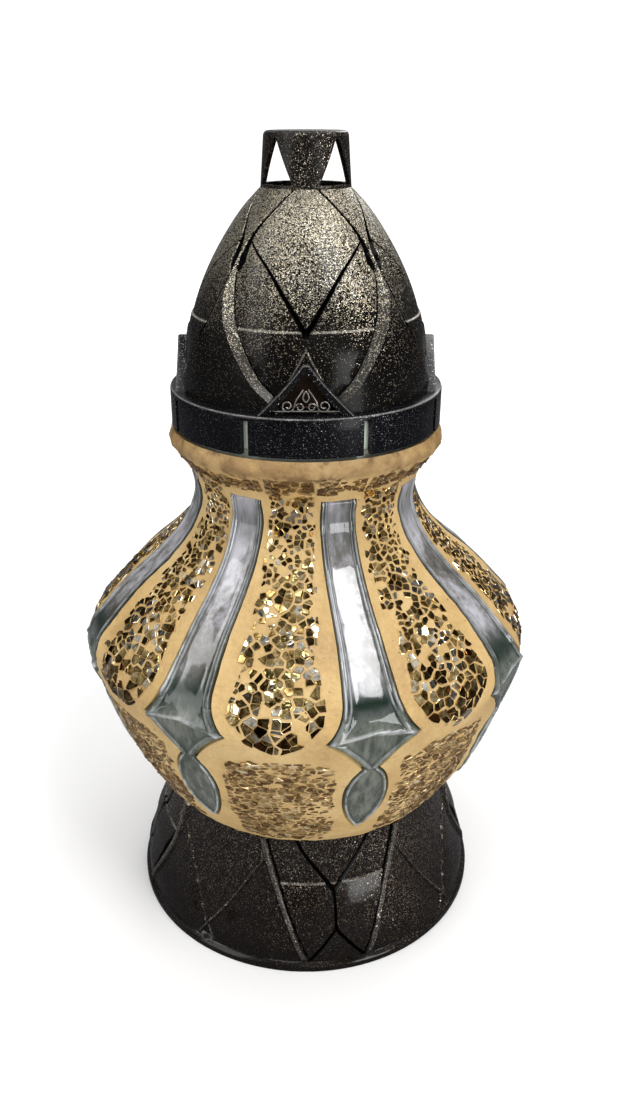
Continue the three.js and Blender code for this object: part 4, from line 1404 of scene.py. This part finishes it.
FLOOR_RADIUS, FLOOR_SIDES = 40.0, 96
mesh = bpy.data.meshes.new("floor")
mesh.from_pydata([(FLOOR_RADIUS * math.cos(a), FLOOR_RADIUS * math.sin(a), -0.0002)
                  for a in np.linspace(0, 2 * math.pi, FLOOR_SIDES, endpoint=False)],
                 [], [tuple(range(FLOOR_SIDES))])
floor = bpy.data.objects.new("floor", mesh)
bpy.context.scene.collection.objects.link(floor)
mesh.materials.append(floor_material())


LAMPS_AIM = Vector((0, 0, 0.16))  # the middle of the lantern


def softbox(name, where, size, power, colour=(1, 1, 1)):
    data = bpy.data.lights.new(name, "AREA")
    data.shape, data.size, data.size_y = "RECTANGLE", *size
    data.energy, data.color = power, colour
    lamp = bpy.data.objects.new(name, data)
    bpy.context.scene.collection.objects.link(lamp)
    lamp.location = where
    lamp.rotation_euler = (LAMPS_AIM - Vector(where)).to_track_quat("-Z", "Y").to_euler()


softbox("key_softbox", (0.44, -0.50, 1.06), (0.46, 0.42), 7.6)
softbox("low_softbox", (0.60, -0.76, 0.17), (0.36, 0.32), 2.4)
softbox("left_window", (-0.66, -0.26, 0.90), (0.26, 0.40), 1.6)
softbox("strip_light", (-0.16, -0.71, 0.90), (0.36, 0.05), 0.35, (0.72, 0.90, 1.0))
softbox("fill_softbox", (-0.95, -0.75, 0.60), (0.6, 0.9), 3.7)
softbox("top_softbox", (0.0, 0.15, 1.5), (1.4, 1.2), 10.0)
softbox("back_softbox", (0.3, 1.1, 0.8), (0.9, 0.5), 5.0)


def studio_world():
    """White to the eye, soft grey light on the lantern, and soft patches in reflections."""
    world = bpy.data.worlds.new("studio")
    bpy.context.scene.world = world
    world.use_nodes = True
    tree = world.node_tree

    def add(kind, inputs=None, **settings):
        return add_node(tree, kind, inputs, **settings).outputs

    path = add("ShaderNodeLightPath")
    where = add("ShaderNodeTexCoord")["Generated"]
    patches = add("ShaderNodeTexNoise", {"Vector": where, "Scale": 2.6, "Detail": 1.5})["Fac"]
    room = spread_node(tree, patches, 0.42, 0.62, 0.03, 0.60)
    up = add("ShaderNodeSeparateXYZ", {0: where})["Z"]
    dusk = spread_node(tree, up, 0.0, 0.4, 0.3, 1.0)
    room = add("ShaderNodeMath", {0: room, 1: dusk}, operation="MULTIPLY")[0]
    level = add("ShaderNodeMix", {0: path["Is Glossy Ray"], 2: 0.42, 3: room})[0]
    level = add("ShaderNodeMix", {0: path["Is Camera Ray"], 2: level, 3: 1.0})[0]
    background = tree.nodes["Background"]
    background.inputs["Color"].default_value = (1.0, 1.0, 1.0, 1.0)
    tree.links.new(level, background.inputs["Strength"])


studio_world()
bpy.context.scene.view_settings.view_transform = "Standard"

CAMERA_AT, CAMERA_DOWN, CAMERA_SHIFT = (0.0, -0.35375, 0.311), 24.44, 0.0032
camera_data = bpy.data.cameras.new("camera")
camera_data.lens, camera_data.sensor_width = 31.8, 36.0
camera_data.shift_x = CAMERA_SHIFT
camera = bpy.data.objects.new("camera", camera_data)
bpy.context.scene.collection.objects.link(camera)
camera.location = CAMERA_AT
camera.rotation_euler = (math.radians(90 - CAMERA_DOWN), 0, 0)
bpy.context.scene.camera = camera
